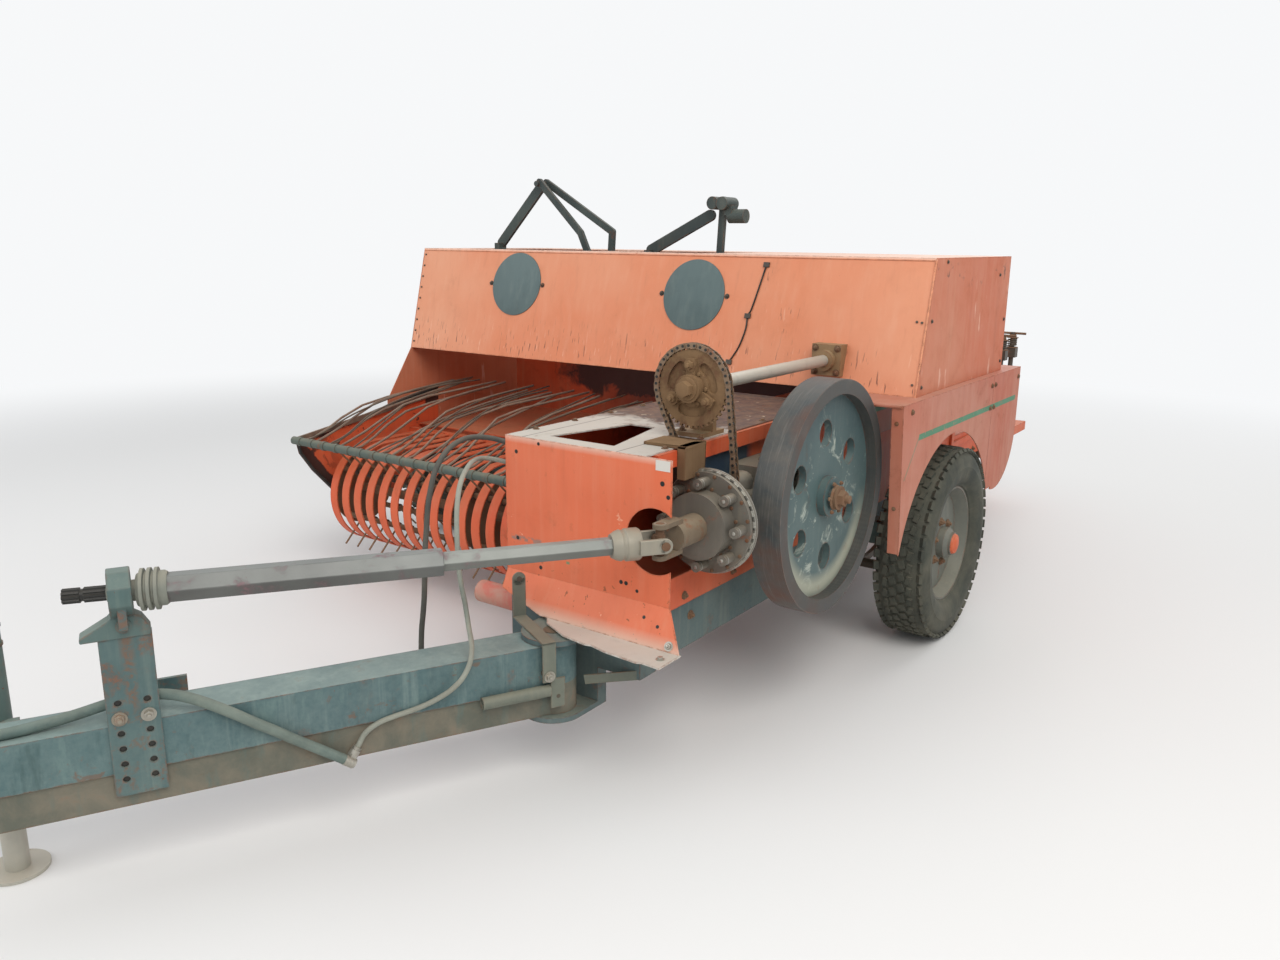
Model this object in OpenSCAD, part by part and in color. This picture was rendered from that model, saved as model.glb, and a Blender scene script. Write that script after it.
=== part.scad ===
// Square baler, parked in its transport position.
// X runs forward along the bale chamber, Y to the machine's left, Z up.
// The working frame has the left wheel's axle at x = 0, the middle of the bale
// chamber at y = 0 and the ground at z = 0. place() moves it to the part's origin.

/* [Wheels] */
// Outside radius of a tyre
tyre_r = 374; // [360:1:380]
// Width of a tyre
tyre_w = 200; // [180:1:205]
// Radius of the rim's bead seat
rim_r = 222; // [210:1:235]
// Middle of the left tyre, from the middle of the chamber
wheel_left_y = 500; // [495:1:510]
// Middle of the right tyre, to the right of the chamber
wheel_right_y = 2055; // [2050:1:2090]

/* [Bale chamber] */
// Clear width of the bale chamber
bale_w = 460; // [440:1:480]
// Clear height of the bale chamber
bale_h = 380; // [360:1:390]
// Thickness of the chamber's plates
chamber_t = 8; // [5:1:10]
// Height of the chamber's underside above the ground
chamber_z = 464; // [462:1:470]
// Rear end of the chamber, behind the axle
chamber_rear = 1850; // [1800:1:1950]
// Front end of the chamber's walls, ahead of the axle
chamber_front = 1600; // [1590:1:1610]
// Height of the front hood's cover
hood_z = 945; // [935:1:955]

/* [Feeder housing] */
// Underside of the housing
housing_z = 990; // [985:1:995]
// Top of the housing
housing_top = 1450; // [1400:1:1500]
// Front lower edge of the housing, ahead of the axle
housing_front_x = 441; // [420:1:460]
// How far the front panel leans back over its height
housing_lean = 113; // [0:1:140]
// Rear of the housing, behind the axle
housing_rear_x = 540; // [500:1:580]
// Left end of the housing
housing_left_y = 550; // [530:1:560]
// Right end of the housing
housing_right_y = 1931; // [1925:1:1940]
// Thickness of the sheet panels
sheet_t = 4; // [3:1:5]

/* [Driveline] */
// Distance of the input shaft to the left of the chamber's middle
input_y = 325; // [320:1:328]
// Height of the input shaft and of the flywheel's axle
input_z = 735; // [725:1:745]
// Radius of the flywheel
flywheel_r = 364; // [340:1:370]
// Width of the flywheel's rim
flywheel_w = 95; // [80:1:100]
// Middle of the flywheel, ahead of the axle
flywheel_x = 930; // [925:1:960]
// Radius of the slip clutch
clutch_r = 150; // [120:1:155]
// Middle of the universal joint, ahead of the axle
joint_x = 1640; // [1640:1:1650]
// Height of the feeder shaft
feeder_z = 1094; // [1090:1:1100]
// Distance of the feeder shaft from the chamber's middle
feeder_y = 220; // [215:1:225]
// Pitch radius of the feeder sprocket
sprocket_r = 114; // [105:1:118]
// Pitch radius of the small sprocket on the input shaft
pinion_r = 50; // [45:1:55]

/* [Drawbar] */
// Distance of the drawbar's pivot ahead of the axle
pivot_x = 1690; // [1690:1:1700]
// Angle of the drawbar towards the machine's right, as parked
drawbar_yaw = 27.5; // [25:0.5:28]
// Width of the drawbar's tube
drawbar_w = 130; // [120:1:136]
// Height of the upper tube of the drawbar
drawbar_h = 120; // [110:1:125]
// Height of the lower tube of the drawbar
lower_h = 90; // [80:1:95]
// Top of the drawbar above the ground
drawbar_top = 410; // [405:1:412]
// Length of the drawbar ahead of its pivot
drawbar_len = 1480; // [1450:1:1600]
// Distance of the support bearing from the pivot, along the drawbar
bearing_along = 1060; // [1040:1:1080]
// Height of the support bearing
bearing_z = 728; // [715:1:745]

/* [Pickup] */
// Middle of the pickup's reel, ahead of the axle
reel_x = 790; // [780:1:800]
// Height of the reel's shaft
reel_z = 380; // [375:1:390]
// Radius of the reel's tine tips
tine_r = 290; // [270:1:295]
// Outside radius of the stripper bands
band_r = 225; // [215:1:230]
// Spacing of the tines and bands across the pickup
band_pitch = 78; // [70:1:80]
// Width of one stripper band
band_w = 44; // [40:1:48]
// Number of tines on each bar
tine_n = 19; // [12:1:19]
// Right end of the pickup
pickup_right_y = 1918; // [1910:1:1918]
// Left end of the pickup, beside the chamber
pickup_left_y = 300; // [290:1:310]

/* [Hidden] */

// Running clearance between moving pieces, and the gap at a seat
clear = 5;
seat = 0.3;

// Heights and sides that follow from the driving dimensions
wall_y = bale_w / 2 + chamber_t;
floor_z = chamber_z + chamber_t;
ceiling_z = floor_z + bale_h;
roof_z = ceiling_z + chamber_t;
rail_h = 160;
rail_w = 80;
rail_y = 170;
rail_z = chamber_z - rail_h;
axle_z = tyre_r;
axle_h = 90;
hood_rear_x = 440;
cross_xs = [-1150, 100, 1500];
fender_y = 580;
fender_front_x = 640;
fender_rear_x = 717;
fender_seam_x = -340;
drawbar_z = drawbar_top - drawbar_h;
lower_z = drawbar_z - lower_h;
flywheel_y = 400;
chain_x = 1330;
chain_w = 16;
bearing_off = 66;
ball_r = 38;
chute_hinge = chamber_rear + 35;
spindle_r = 25;
reel_shaft_r = 20;
pivot_r = 20;

// Middle of the finished part's box, so that its origin is under the middle
rear_reach = chute_hinge + 535;
front_reach = pivot_x + (drawbar_len + 110) * cos(drawbar_yaw) + 60;
mid_x = (front_reach - rear_reach) / 2;
mid_y = (wheel_left_y + tyre_w / 2 - wheel_right_y - tyre_w / 2) / 2;

module place() { translate([-mid_x, -mid_y, 0]) children(); }

// Basic shapes
module block(lo, hi) { translate(lo) cube(hi - lo); }
module plate_xz(y0, t) { translate([0, y0 + t, 0]) rotate([90, 0, 0]) linear_extrude(t) children(); }
module plate_yz(x0, t) { translate([x0, 0, 0]) rotate([90, 0, 90]) linear_extrude(t) children(); }
module plate_xy(z0, t) { translate([0, 0, z0]) linear_extrude(t) children(); }
module round_y(x, y0, y1, z, r) {
  translate([x, y1, z]) rotate([90, 0, 0]) cylinder(r = r, h = y1 - y0, $fn = 48);
}
module round_x(x0, x1, y, z, r) {
  translate([x0, y, z]) rotate([0, 90, 0]) cylinder(r = r, h = x1 - x0, $fn = 48);
}
module round_z(x, y, z0, z1, r) { translate([x, y, z0]) cylinder(r = r, h = z1 - z0, $fn = 48); }
module rod(a, b, r) {
  d = b - a;
  translate(a) rotate([0, acos(d.z / norm(d)), atan2(d.y, d.x)]) cylinder(r = r, h = norm(d), $fn = 24);
}
// Turns its children with the drawbar, about the pivot, as parked
module on_drawbar() { translate([pivot_x, 0, 0]) rotate([0, 0, -drawbar_yaw]) children(); }

// Main frame under the chamber
module frame_rails() {
  color("slategray") difference() {
    union() {
      for (side = [-1, 1]) {
        block([-1200, side * rail_y - rail_w / 2, rail_z], [1560, side * rail_y + rail_w / 2, chamber_z]);
      }
      for (x = cross_xs) {
        block([x - 40, -rail_y, rail_z + 20], [x + 40, rail_y, chamber_z - 20]);
      }
      block([1520, -wall_y, rail_z], [1600, wall_y, chamber_z]);
      pivot_plates();
      round_y(1500, -460, -rail_y, 390, 36);
    }
    round_z(pivot_x, 0, 100, 500, pivot_r);
    block([-45, -wall_y, axle_z - 45], [45, wall_y, axle_z + 45]);
  }
}
module pivot_pin() {
  color("gray") {
    round_z(pivot_x, 0, lower_z - 30, drawbar_top + 17, pivot_r);
    round_z(pivot_x, 0, drawbar_top + 17, drawbar_top + 19, pivot_r + 8);
  }
}
module pivot_plates() {
  for (z = [drawbar_top + 1, lower_z - 17]) {
    plate_xy(z, 16) union() {
      translate([1590, -90]) square([pivot_x - 1590, 180]);
      translate([pivot_x, 0]) circle(r = 90, $fn = 64);
    }
  }
  block([1560, -90, lower_z - 17], [1600, 90, rail_z + 1]);
}

// Axle across the machine, with a spindle in each hub
module axle_beam() {
  color("slategray") {
    block([-45, -wheel_right_y + 150, axle_z - 45], [45, wheel_left_y - 120, axle_z + 45]);
    round_y(0, wheel_left_y - 121, wheel_left_y + 60, axle_z, spindle_r);
    round_y(0, -wheel_right_y - 60, -wheel_right_y + 151, axle_z, spindle_r);
    block([-25, -wheel_right_y + 160, axle_z + 45], [25, -wheel_right_y + 210, 570]);
  }
}

// Bale chamber behind the front hood, open on the feed side and at the rear
module chamber_shell() {
  color("chocolate") difference() {
    block([-chamber_rear, -wall_y, chamber_z], [hood_rear_x, wall_y, roof_z]);
    block([-chamber_rear - 1, -bale_w / 2, floor_z], [hood_rear_x + 1, bale_w / 2, ceiling_z]);
    block([-280, -wall_y - 1, 630], [420, -bale_w / 2 + 1, ceiling_z]);
    for (y = [-90, 90]) {
      block([-805, y - 16, chamber_z - 1], [-730, y + 16, floor_z + 1]);
      block([-705, y - 16, ceiling_z - 1], [-620, y + 16, roof_z + 1]);
    }
    block([-chamber_rear + 150, -60, ceiling_z - 1], [-1000, 60, roof_z + 1]);
    for (side = [-1, 1]) {
      block([-chamber_rear + 150, side * wall_y - 20, 600], [-1000, side * wall_y + 20, 740]);
    }
  }
}

// Taller walls round the crank, ahead of the housing
module chamber_hood() {
  color("orangered") {
    block([hood_rear_x, -wall_y, chamber_z], [chamber_front, wall_y, floor_z]);
    for (side = [-1, 1]) {
      difference() {
        block([hood_rear_x, side * (wall_y - chamber_t / 2) - chamber_t / 2, chamber_z],
              [chamber_front, side * (wall_y - chamber_t / 2) + chamber_t / 2, hood_z - sheet_t]);
        if (side > 0) {
          round_y(flywheel_x, 0, 300, input_z, 60);
          block([1300, 0, 560], [chamber_front + 1, 300, 896]);
        }
      }
    }
    block([hood_rear_x, wall_y, 896], [1560, wall_y + 24, hood_z - sheet_t]);
    block([hood_rear_x, -wall_y, roof_z], [hood_rear_x + chamber_t, wall_y, hood_z - sheet_t]);
  }
}

// Orange front plate with its broken hole and the apron folded forward below it
fold_z = 540;
apron_x = 1652;
tray_z = 434;
module front_plate() {
  color("orangered") {
    difference() {
      block([chamber_front, -wall_y - 10, fold_z], [chamber_front + sheet_t, 335, hood_z]);
      translate([chamber_front - 1, 282, 717]) rotate([0, 90, 0]) cylinder(r = 92, h = 6, $fn = 64);
    }
    intersection() {
      plate_xz(-wall_y - 10, wall_y + 430) polygon([[chamber_front, fold_z],
        [chamber_front + sheet_t, fold_z], [apron_x, tray_z + 4], [apron_x - 5, tray_z + 4]]);
      plate_yz(chamber_front - 10, 100) polygon([[-wall_y - 10, fold_z + 1], [335, fold_z + 1],
        [400, tray_z], [-70, tray_z], [-wall_y - 10, 484]]);
    }
  }
}

// Bent tray under the apron, worn to bare metal
module front_tray() {
  color("wheat") plate_xy(tray_z, 4) polygon([[apron_x - 5, -60], [apron_x + 30, -30], [1726, 66],
    [1738, 150], [1733, 170], [1746, 224], [1753, 330], [1746, 345], [1750, 402], [apron_x - 5, 402]]);
}

// Pale cover over the hood, with its opening
module hood_cover() {
  color("wheat") difference() {
    block([hood_rear_x + 14, -wall_y - 10, hood_z - sheet_t], [chamber_front, wall_y + 10, hood_z]);
    plate_xy(hood_z - 10, 20) polygon([[1540, -130], [1540, 100], [1240, 30], [1240, -60]]);
    block([chain_x - 30, 135, hood_z - 10], [chain_x + 32, 300, hood_z + 1]);
  }
}

// Housing across the machine, over the feeder
function lean_x(z) = housing_front_x - housing_lean * (z - housing_z) / (housing_top - housing_z);
module housing_front() {
  color("orangered") plate_xz(-housing_right_y + sheet_t, housing_right_y + housing_left_y - 2 * sheet_t)
    polygon([[housing_front_x, housing_z], [lean_x(housing_top), housing_top],
      [lean_x(housing_top) - 30, housing_top], [lean_x(housing_top) - 30, housing_top - sheet_t],
      [lean_x(housing_top) - sheet_t, housing_top - sheet_t],
      [housing_front_x - sheet_t, housing_z + sheet_t], [housing_front_x - 40, housing_z + sheet_t],
      [housing_front_x - 40, housing_z]]);
}
module end_outline() {
  polygon([[-housing_rear_x, housing_z], [-housing_rear_x, housing_top], [lean_x(housing_top), housing_top],
    [housing_front_x, housing_z]]);
}
module housing_left_end() {
  color("orangered") plate_xz(housing_left_y - sheet_t, sheet_t) end_outline();
}
module housing_right_end() {
  color("orangered") plate_xz(-housing_right_y, sheet_t) union() {
    end_outline();
    polygon([[-300, 560], [-300, housing_z], [housing_front_x, housing_z], [600, 755], [600, 700],
      [430, 560]]);
  }
}
module housing_top() {
  color("orangered") difference() {
    block([-housing_rear_x + sheet_t, -housing_right_y + sheet_t, housing_top - sheet_t],
      [lean_x(housing_top) - 30, housing_left_y - sheet_t, housing_top]);
    for (y = [[-1720, -960], [-930, -420]])
      block([-220, y.x, housing_top - 10], [250, y.y, housing_top + 1]);
  }
}
module housing_rear() {
  color("orangered") plate_xz(-housing_right_y + sheet_t, housing_right_y + housing_left_y - 2 * sheet_t)
    polygon([[-housing_rear_x, housing_z], [-housing_rear_x, housing_top],
      [-housing_rear_x + sheet_t, housing_top], [-housing_rear_x + sheet_t, housing_z + sheet_t],
      [-housing_rear_x + 60, housing_z + sheet_t], [-housing_rear_x + 60, housing_z]]);
}

// Floor of the feed channel between the pickup and the chamber, and the pickup's pivots
table_step_x = 230;
table_right_y = -pickup_right_y + 12;
table_left_y = -pickup_left_y - 12;
lift_x = 385;
lift_z = 540;
lift_r = 15;
module feed_table() {
  color("orangered") {
    block([-300, -housing_right_y + sheet_t, 620], [table_step_x, -wall_y, 626]);
    block([table_step_x, table_right_y, 620], [430, table_left_y, 626]);
    block([-300, -housing_right_y + sheet_t, 626], [-296, -wall_y, housing_z]);
    block([-300, -housing_right_y + sheet_t, 570], [-250, -wall_y, 620]);
    block([360, table_right_y, 570], [410, table_left_y, 620]);
    for (y = [table_right_y, -1100, table_left_y - 40]) block([-250, y, 570], [360, y + 40, 620]);
    for (y = [table_right_y, table_left_y - 8]) {
      plate_xz(y, 8) polygon([[lift_x - 25, lift_z], [lift_x - 25, 571], [lift_x + 25, 571],
        [lift_x + 25, lift_z], [lift_x, lift_z - 22]]);
    }
    round_y(lift_x, -pickup_right_y - 2, table_right_y + 8, lift_z, lift_r);
    round_y(lift_x, table_left_y - 8, -pickup_left_y + 2, lift_z, lift_r);
  }
}

// Arms of the packer fingers, standing out of the housing's roof
arm_x = 60;
arm_shaft_z = 1300;
// Plates between two eyes: y and z of one end, y and z of the other, half width, x of the plate's rear face
arm_bars = [
  [-1694, 1477, -1438, 1735, 23, 40],
  [-815, 1456, -520, 1600, 23, 40],
  [-1425, 1752, -1186, 1526, 15, 68],
  [-1186, 1526, -1135, 1420, 15, 68],
  [-1425, 1752, -1043, 1532, 15, 20],
  [-1043, 1532, -1050, 1420, 15, 20],
  [-458, 1660, -470, 1420, 15, 40]
];
module bar_yz(b) {
  plate_yz(b[5], 16) hull() {
    translate([b[0], b[1]]) circle(r = b[4], $fn = 24);
    translate([b[2], b[3]]) circle(r = b[4], $fn = 24);
  }
}
module feeder_arms() {
  color("dimgray") {
    round_y(arm_x, -housing_right_y + sheet_t, housing_left_y - sheet_t, arm_shaft_z, 24);
    for (b = arm_bars) bar_yz(b);
    // Bolts through the eyes, and the stub at the left end
    for (eye = [[-1432, 1744], [-1160, 1420], [-1047, 1420]]) round_x(12, 96, eye.x, eye.y, 12);
    round_x(24, 96, -486, 1648, 26);
    round_x(12, 108, -434, 1646, 26);
    // Cranks on the shaft inside the housing
    for (c = [[-1694, 1477], [-1135, 1420], [-1050, 1420], [-815, 1456], [-470, 1420]]) {
      block([arm_x - 26, c.x - 14, arm_shaft_z], [arm_x + 26, c.x + 14, c.y]);
    }
    block([arm_x - 26, -434, 1600], [arm_x + 26, -400, 1640]);
    round_y(arm_x, -420, -344, 1596, 28);
  }
}

// Fender over the left wheel, in two sections
arch_x = 110;
arch_z = 320;
arch_r = 505;
module fender_outline() {
  difference() {
    union() {
      polygon([[fender_front_x, housing_z], [fender_front_x - 48, 476], [-410, 476], [-410, 518],
        [-fender_rear_x, 740], [-fender_rear_x, housing_z]]);
      translate([-fender_rear_x + 240, 740]) circle(r = 240, $fn = 64);
    }
    translate([arch_x, arch_z]) circle(r = arch_r, $fn = 96);
    translate([-420, 400]) square([900, 118]);
  }
}
module fender_front() {
  color("orangered") {
    plate_xz(fender_y, sheet_t) intersection() {
      fender_outline();
      translate([fender_seam_x, 0]) square([2000, 2000]);
    }
    block([fender_seam_x, wall_y, housing_z - sheet_t], [fender_front_x, fender_y, housing_z]);
    plate_xz(fender_y - 36, 36) polygon([[fender_front_x, housing_z - sheet_t], [fender_front_x - 47.6, 480],
      [fender_front_x - 52, 480], [fender_front_x - 4, housing_z - sheet_t]]);
    block([-300, wall_y, 760], [hood_rear_x - 10, wall_y + sheet_t, housing_z - sheet_t]);
  }
}
module fender_rear() {
  color("orangered") {
    plate_xz(fender_y, sheet_t) intersection() {
      fender_outline();
      translate([fender_seam_x - 2000, 0]) square([2000 - 2, 2000]);
    }
    block([-fender_rear_x, wall_y, housing_z - sheet_t], [fender_seam_x - 2, fender_y, housing_z]);
    block([-fender_rear_x, wall_y, roof_z - 100],
      [fender_seam_x - 20, wall_y + sheet_t, housing_z - sheet_t]);
  }
}

// Bevel gearbox beside the chamber
module gearbox() {
  color("gray") difference() {
    union() {
      block([flywheel_x - 150, wall_y, input_z - 120], [flywheel_x + 210, input_y + 55, input_z + 110]);
      round_x(flywheel_x + 210, 1300, input_y, input_z, 62);
      round_y(flywheel_x, input_y + 55, flywheel_y - clear, input_z, 70);
      round_y(flywheel_x, input_y + 55, flywheel_y - seat, input_z, 28);
      block([1180, wall_y, input_z - 50], [1260, input_y + 20, input_z + 50]);
      round_x(1300, 1386 - seat, input_y, input_z, 22);
    }
  }
}

// Chain drive from the input shaft up to the feeder shaft
module sprocket(r, teeth, w) {
  difference() {
    union() {
      circle(r = r - 5, $fn = 96);
      for (i = [0 : teeth - 1]) {
        rotate(i * 360 / teeth) translate([r - 8, -3.5]) square([11, 7]);
      }
    }
    circle(r = w, $fn = 48);
  }
}
module drive_pinion() {
  color("saddlebrown") {
    translate([chain_x - 5, input_y, input_z]) rotate([90, 0, 90])
      linear_extrude(10) sprocket(pinion_r, 18, 22);
    difference() {
      round_x(chain_x - 25, chain_x + 25, input_y, input_z, 34);
      round_x(chain_x - 26, chain_x + 26, input_y, input_z, 22);
    }
  }
}
module kidney(r_in, r_out, spread) {
  mid = (r_in + r_out) / 2;
  end_r = (r_out - r_in) / 2 + 0.6;
  difference() {
    circle(r = r_out, $fn = 64);
    circle(r = r_in, $fn = 64);
    rotate(spread / 2) translate([-200, 0]) square([400, 200]);
    rotate(-spread / 2) translate([-200, -200]) square([400, 200]);
  }
  for (a = [-spread / 2, spread / 2]) rotate(a) translate([mid, 0]) circle(r = end_r, $fn = 24);
}
module feeder_sprocket() {
  color("saddlebrown") {
    translate([chain_x - 5, feeder_y, feeder_z]) rotate([90, 0, 90]) linear_extrude(10) difference() {
      sprocket(sprocket_r, 40, 20);
      for (a = [30, 150, 270]) rotate(a) kidney(54, 84, 52);
    }
    difference() {
      round_x(chain_x - 25, chain_x + 30, feeder_y, feeder_z, 40);
      round_x(chain_x - 26, chain_x + 31, feeder_y, feeder_z, 20);
    }
  }
}
module chain_outline(grow) {
  hull() {
    translate([input_y, input_z]) circle(r = pinion_r + grow, $fn = 64);
    translate([feeder_y, feeder_z]) circle(r = sprocket_r + grow, $fn = 96);
  }
}
module feeder_chain() {
  color("saddlebrown") plate_yz(chain_x - chain_w / 2, chain_w) difference() {
    chain_outline(11);
    chain_outline(4);
  }
}
module feeder_shaft() {
  color("lightgray") round_x(456, chain_x + 36, feeder_y, feeder_z, 20);
}
module shaft_bearing() {
  color("peru") difference() {
    union() {
      plate_xz(feeder_y - 55, 110) polygon([[lean_x(feeder_z - 55), feeder_z - 55],
        [lean_x(feeder_z + 55), feeder_z + 55], [456, feeder_z + 55], [456, feeder_z - 55]]);
      round_x(456, 480, feeder_y, feeder_z, 36);
    }
    round_x(456, 481, feeder_y, feeder_z, 20);
  }
}
module sprocket_bracket() {
  color("tan") difference() {
    union() {
      block([1180, 130, hood_z], [1300, wall_y, hood_z + 12]);
      block([1225, 170, hood_z], [1245, wall_y, feeder_z]);
      round_x(1215, 1265, feeder_y, feeder_z, 40);
    }
    round_x(1214, 1266, feeder_y, feeder_z, 20);
  }
}

// Plunger and its rod inside the chamber
module plunger() {
  color("dimgray") {
    block([20, -bale_w / 2 + 8, floor_z], [430, bale_w / 2 - 8, ceiling_z - 10]);
    block([430, -50, input_z - 40], [flywheel_x - 40, 50, input_z + 40]);
    round_y(flywheel_x, -110, 110, input_z, 120);
    round_y(flywheel_x, 110, wall_y, input_z, 40);
  }
}

// Knotters on the chamber's roof
module knotter_stack() {
  color("dimgray") {
    block([-900, -wall_y, roof_z], [-860, wall_y, roof_z + 30]);
    block([-600, -wall_y, roof_z], [-560, wall_y, roof_z + 30]);
    for (y = [-wall_y, wall_y - 12]) {
      plate_xz(y, 12) polygon([[-900, roof_z], [-900, roof_z + 120], [-780, roof_z + 260],
        [-680, roof_z + 260], [-560, roof_z + 120], [-560, roof_z]]);
    }
    round_y(-760, -wall_y, wall_y, roof_z + 200, 18);
    for (y = [-90, 90]) {
      round_y(-760, y - 55, y - 25, roof_z + 200, 105);
      block([-800, y - 10, roof_z + 60], [-740, y + 14, roof_z + 190]);
    }
  }
}

// Twine box behind the housing, on the right of the chamber
twine_rear = -1480;
twine_front = -930;
twine_out = wall_y + 520;
twine_z = 640;
twine_top = 990;
lid_lap = 20;
lid_t = 3.5;
module twine_box() {
  color("orangered") difference() {
    block([twine_rear, -twine_out, twine_z], [twine_front, -wall_y, twine_top]);
    block([twine_rear + sheet_t, -twine_out + sheet_t, twine_z + sheet_t],
      [twine_front - sheet_t, -wall_y - sheet_t, twine_top + 1]);
  }
}
module twine_box_lid() {
  low = twine_top - lid_lap;
  high = twine_top + 1;
  rear = twine_rear - 4;
  front = twine_front + 4;
  color("orangered") {
    block([rear, -twine_out - 4, twine_top + seat], [front, -wall_y - 6, twine_top + 5]);
    block([rear, -twine_out - 4, low], [rear + lid_t, -wall_y - 30, high]);
    block([front - lid_t, -twine_out - 4, low], [front, -wall_y - 30, high]);
    block([rear, -twine_out - 4, low], [front, -twine_out - 4 + lid_t, high]);
  }
}

// Rails and screws that squeeze the chamber's rear end
module tension_rails() {
  color("dimgray") {
    for (x = [-1740, -1560]) {
      block([x, -wall_y - 60, roof_z + 60], [x + 50, wall_y + 60, roof_z + 110]);
      block([x, -wall_y - 60, chamber_z - 60], [x + 50, wall_y + 60, chamber_z - 10]);
      for (y = [-wall_y - 35, wall_y + 35]) round_z(x + 25, y, chamber_z - 80, roof_z + 190, 12);
    }
    block([-1800, -50, roof_z], [-1020, 50, roof_z + 60]);
    block([-1800, -200, chamber_z - 10], [-1500, 200, chamber_z]);
    for (y = [-225, 213]) {
      plate_xz(y, 12) difference() {
        polygon([[-chamber_rear, chamber_z], [-chamber_rear, chamber_z - 40],
          [-chute_hinge - 20, chute_z - 16], [-chute_hinge - 20, chute_z + 16],
          [-chamber_rear, chute_z + 16]]);
        translate([-chute_hinge, chute_z]) circle(r = 8 + seat, $fn = 32);
      }
    }
    block([-chamber_rear, -225, chamber_z - 40], [-1560, -213, chamber_z]);
    block([-chamber_rear, 213, chamber_z - 40], [-1560, 225, chamber_z]);
  }
}

// Bale chute hinged to the chamber's rear end
module bale_chute() {
  color("orangered") {
    block([-chute_hinge - 535, -206, floor_z - 6], [-chute_hinge + 12, 206, floor_z]);
    for (y = [-206, 200]) {
      block([-chute_hinge - 535, y, floor_z - 50], [-chute_hinge, y + 6, floor_z - 6]);
    }
    round_y(-chute_hinge, -206, 206, chute_z, 12);
    round_y(-chute_hinge, -224, 224, chute_z, 8);
  }
}
chute_z = floor_z - 20;

// Needle yoke under the chamber
needle_x = -350;
needle_z = 560;
needle_r = 430;
module needle_yoke() {
  color("dimgray") translate([needle_x, 0, needle_z]) {
    for (side = [-1, 1]) {
      rotate([0, -25, 0]) block([-16, side * (wall_y + 14) - 4, -needle_r],
        [16, side * (wall_y + 14) + 4, 0]);
      round_y(0, side * (wall_y + 14) - 6, side * (wall_y + 14) + 6, 0, 30);
      round_y(0, side * (wall_y + 6.15) - 5.85, side * (wall_y + 6.15) + 5.85, 0, 13);
    }
    rotate([0, -25, 0]) round_y(0, -wall_y - 24, wall_y + 24, -needle_r, 20);
    for (y = [-90, 90]) {
      translate([0, y + 9, 0]) rotate([90, 0, 0]) linear_extrude(18) intersection() {
        difference() {
          circle(r = needle_r + 14, $fn = 128);
          circle(r = needle_r - 14, $fn = 128);
        }
        polygon([[0, 0], [700 * sin(24), -700 * cos(24)], [0, -900], [-700, -700],
          [-700 * sin(70), -700 * cos(70)]]);
      }
    }
  }
}

// Slip clutch on the input shaft
module clutch() {
  color("silver") difference() {
    union() {
      round_x(1386, 1398, input_y, input_z, clutch_r);
      round_x(1404, 1416, input_y, input_z, clutch_r - 6);
      round_x(1398, 1404, input_y, input_z, clutch_r - 14);
      round_x(1416, 1470, input_y, input_z, 95);
      for (i = [0 : 7]) {
        rotate_about(i * 45) round_x(1410, 1462, input_y + 118, input_z, 15);
      }
    }
  }
}
module rotate_about(a) {
  translate([0, input_y, input_z]) rotate([a, 0, 0]) translate([0, -input_y, -input_z]) children();
}

// Flywheel on the left end of the gearbox's cross shaft
module flywheel() {
  color("slategray") translate([flywheel_x, flywheel_y + flywheel_w, input_z])
    rotate([90, 0, 0]) difference() {
    union() {
      difference() {
        cylinder(r = flywheel_r, h = flywheel_w, $fn = 128);
        translate([0, 0, -1]) cylinder(r = flywheel_r - 45, h = flywheel_w + 2, $fn = 128);
      }
      translate([0, 0, 35]) cylinder(r = flywheel_r - 40, h = 25, $fn = 128);
      translate([0, 0, 10]) cylinder(r = 62, h = flywheel_w - 10, $fn = 64);
      translate([0, 0, -10]) cylinder(r = 30, h = 30, $fn = 48);
    }
    for (i = [0 : 5]) rotate(i * 60 + 25) translate([200, 0, 0]) cylinder(r = 42, h = flywheel_w, $fn = 48);
  }
}

// Drive shaft: the rear half swings at the universal joint, the front half on the drawbar
function bearing_point() = [
  pivot_x + bearing_along * cos(drawbar_yaw) + bearing_off * sin(drawbar_yaw),
  -bearing_along * sin(drawbar_yaw) + bearing_off * cos(drawbar_yaw), bearing_z];
joint_point = [joint_x, input_y, input_z];
shaft_dir = bearing_point() - joint_point;
shaft_len = norm(shaft_dir);
shaft_yaw = atan2(shaft_dir.y, shaft_dir.x);
shaft_pitch = asin(shaft_dir.z / shaft_len);
module along_shaft() {
  translate(joint_point) rotate([0, 0, shaft_yaw]) rotate([0, -shaft_pitch, 0]) children();
}
// Yoke on the clutch, with one ear above and one below the cross
module joint_yoke() {
  color("gray") difference() {
    union() {
      round_x(1470 + seat, 1585, input_y, input_z, 40);
      for (z = [-48, 36]) {
        block([1560, input_y - 20, input_z + z], [joint_x, input_y + 20, input_z + z + 12]);
        round_z(joint_x, input_y, input_z + z, input_z + z + 12, 20);
      }
      block([1560, input_y - 20, input_z - 48], [1585, input_y + 20, input_z + 48]);
    }
    round_z(joint_x, input_y, input_z - 60, input_z + 60, cross_r + seat);
  }
}
cross_r = 12;
module pto_inner() {
  color("gray") {
    round_z(joint_x, input_y, input_z - 47, input_z + 47, cross_r);
    along_shaft() {
      round_y(0, -48, 48, 0, cross_r);
      for (y = [-48, 36]) {
        block([0, y, -18], [72, y + 12, 18]);
        round_y(0, y, y + 12, 0, 18);
      }
      round_x(60, 130, 0, 0, 42);
      round_x(130, 700, 0, 0, 22);
    }
  }
}
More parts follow.
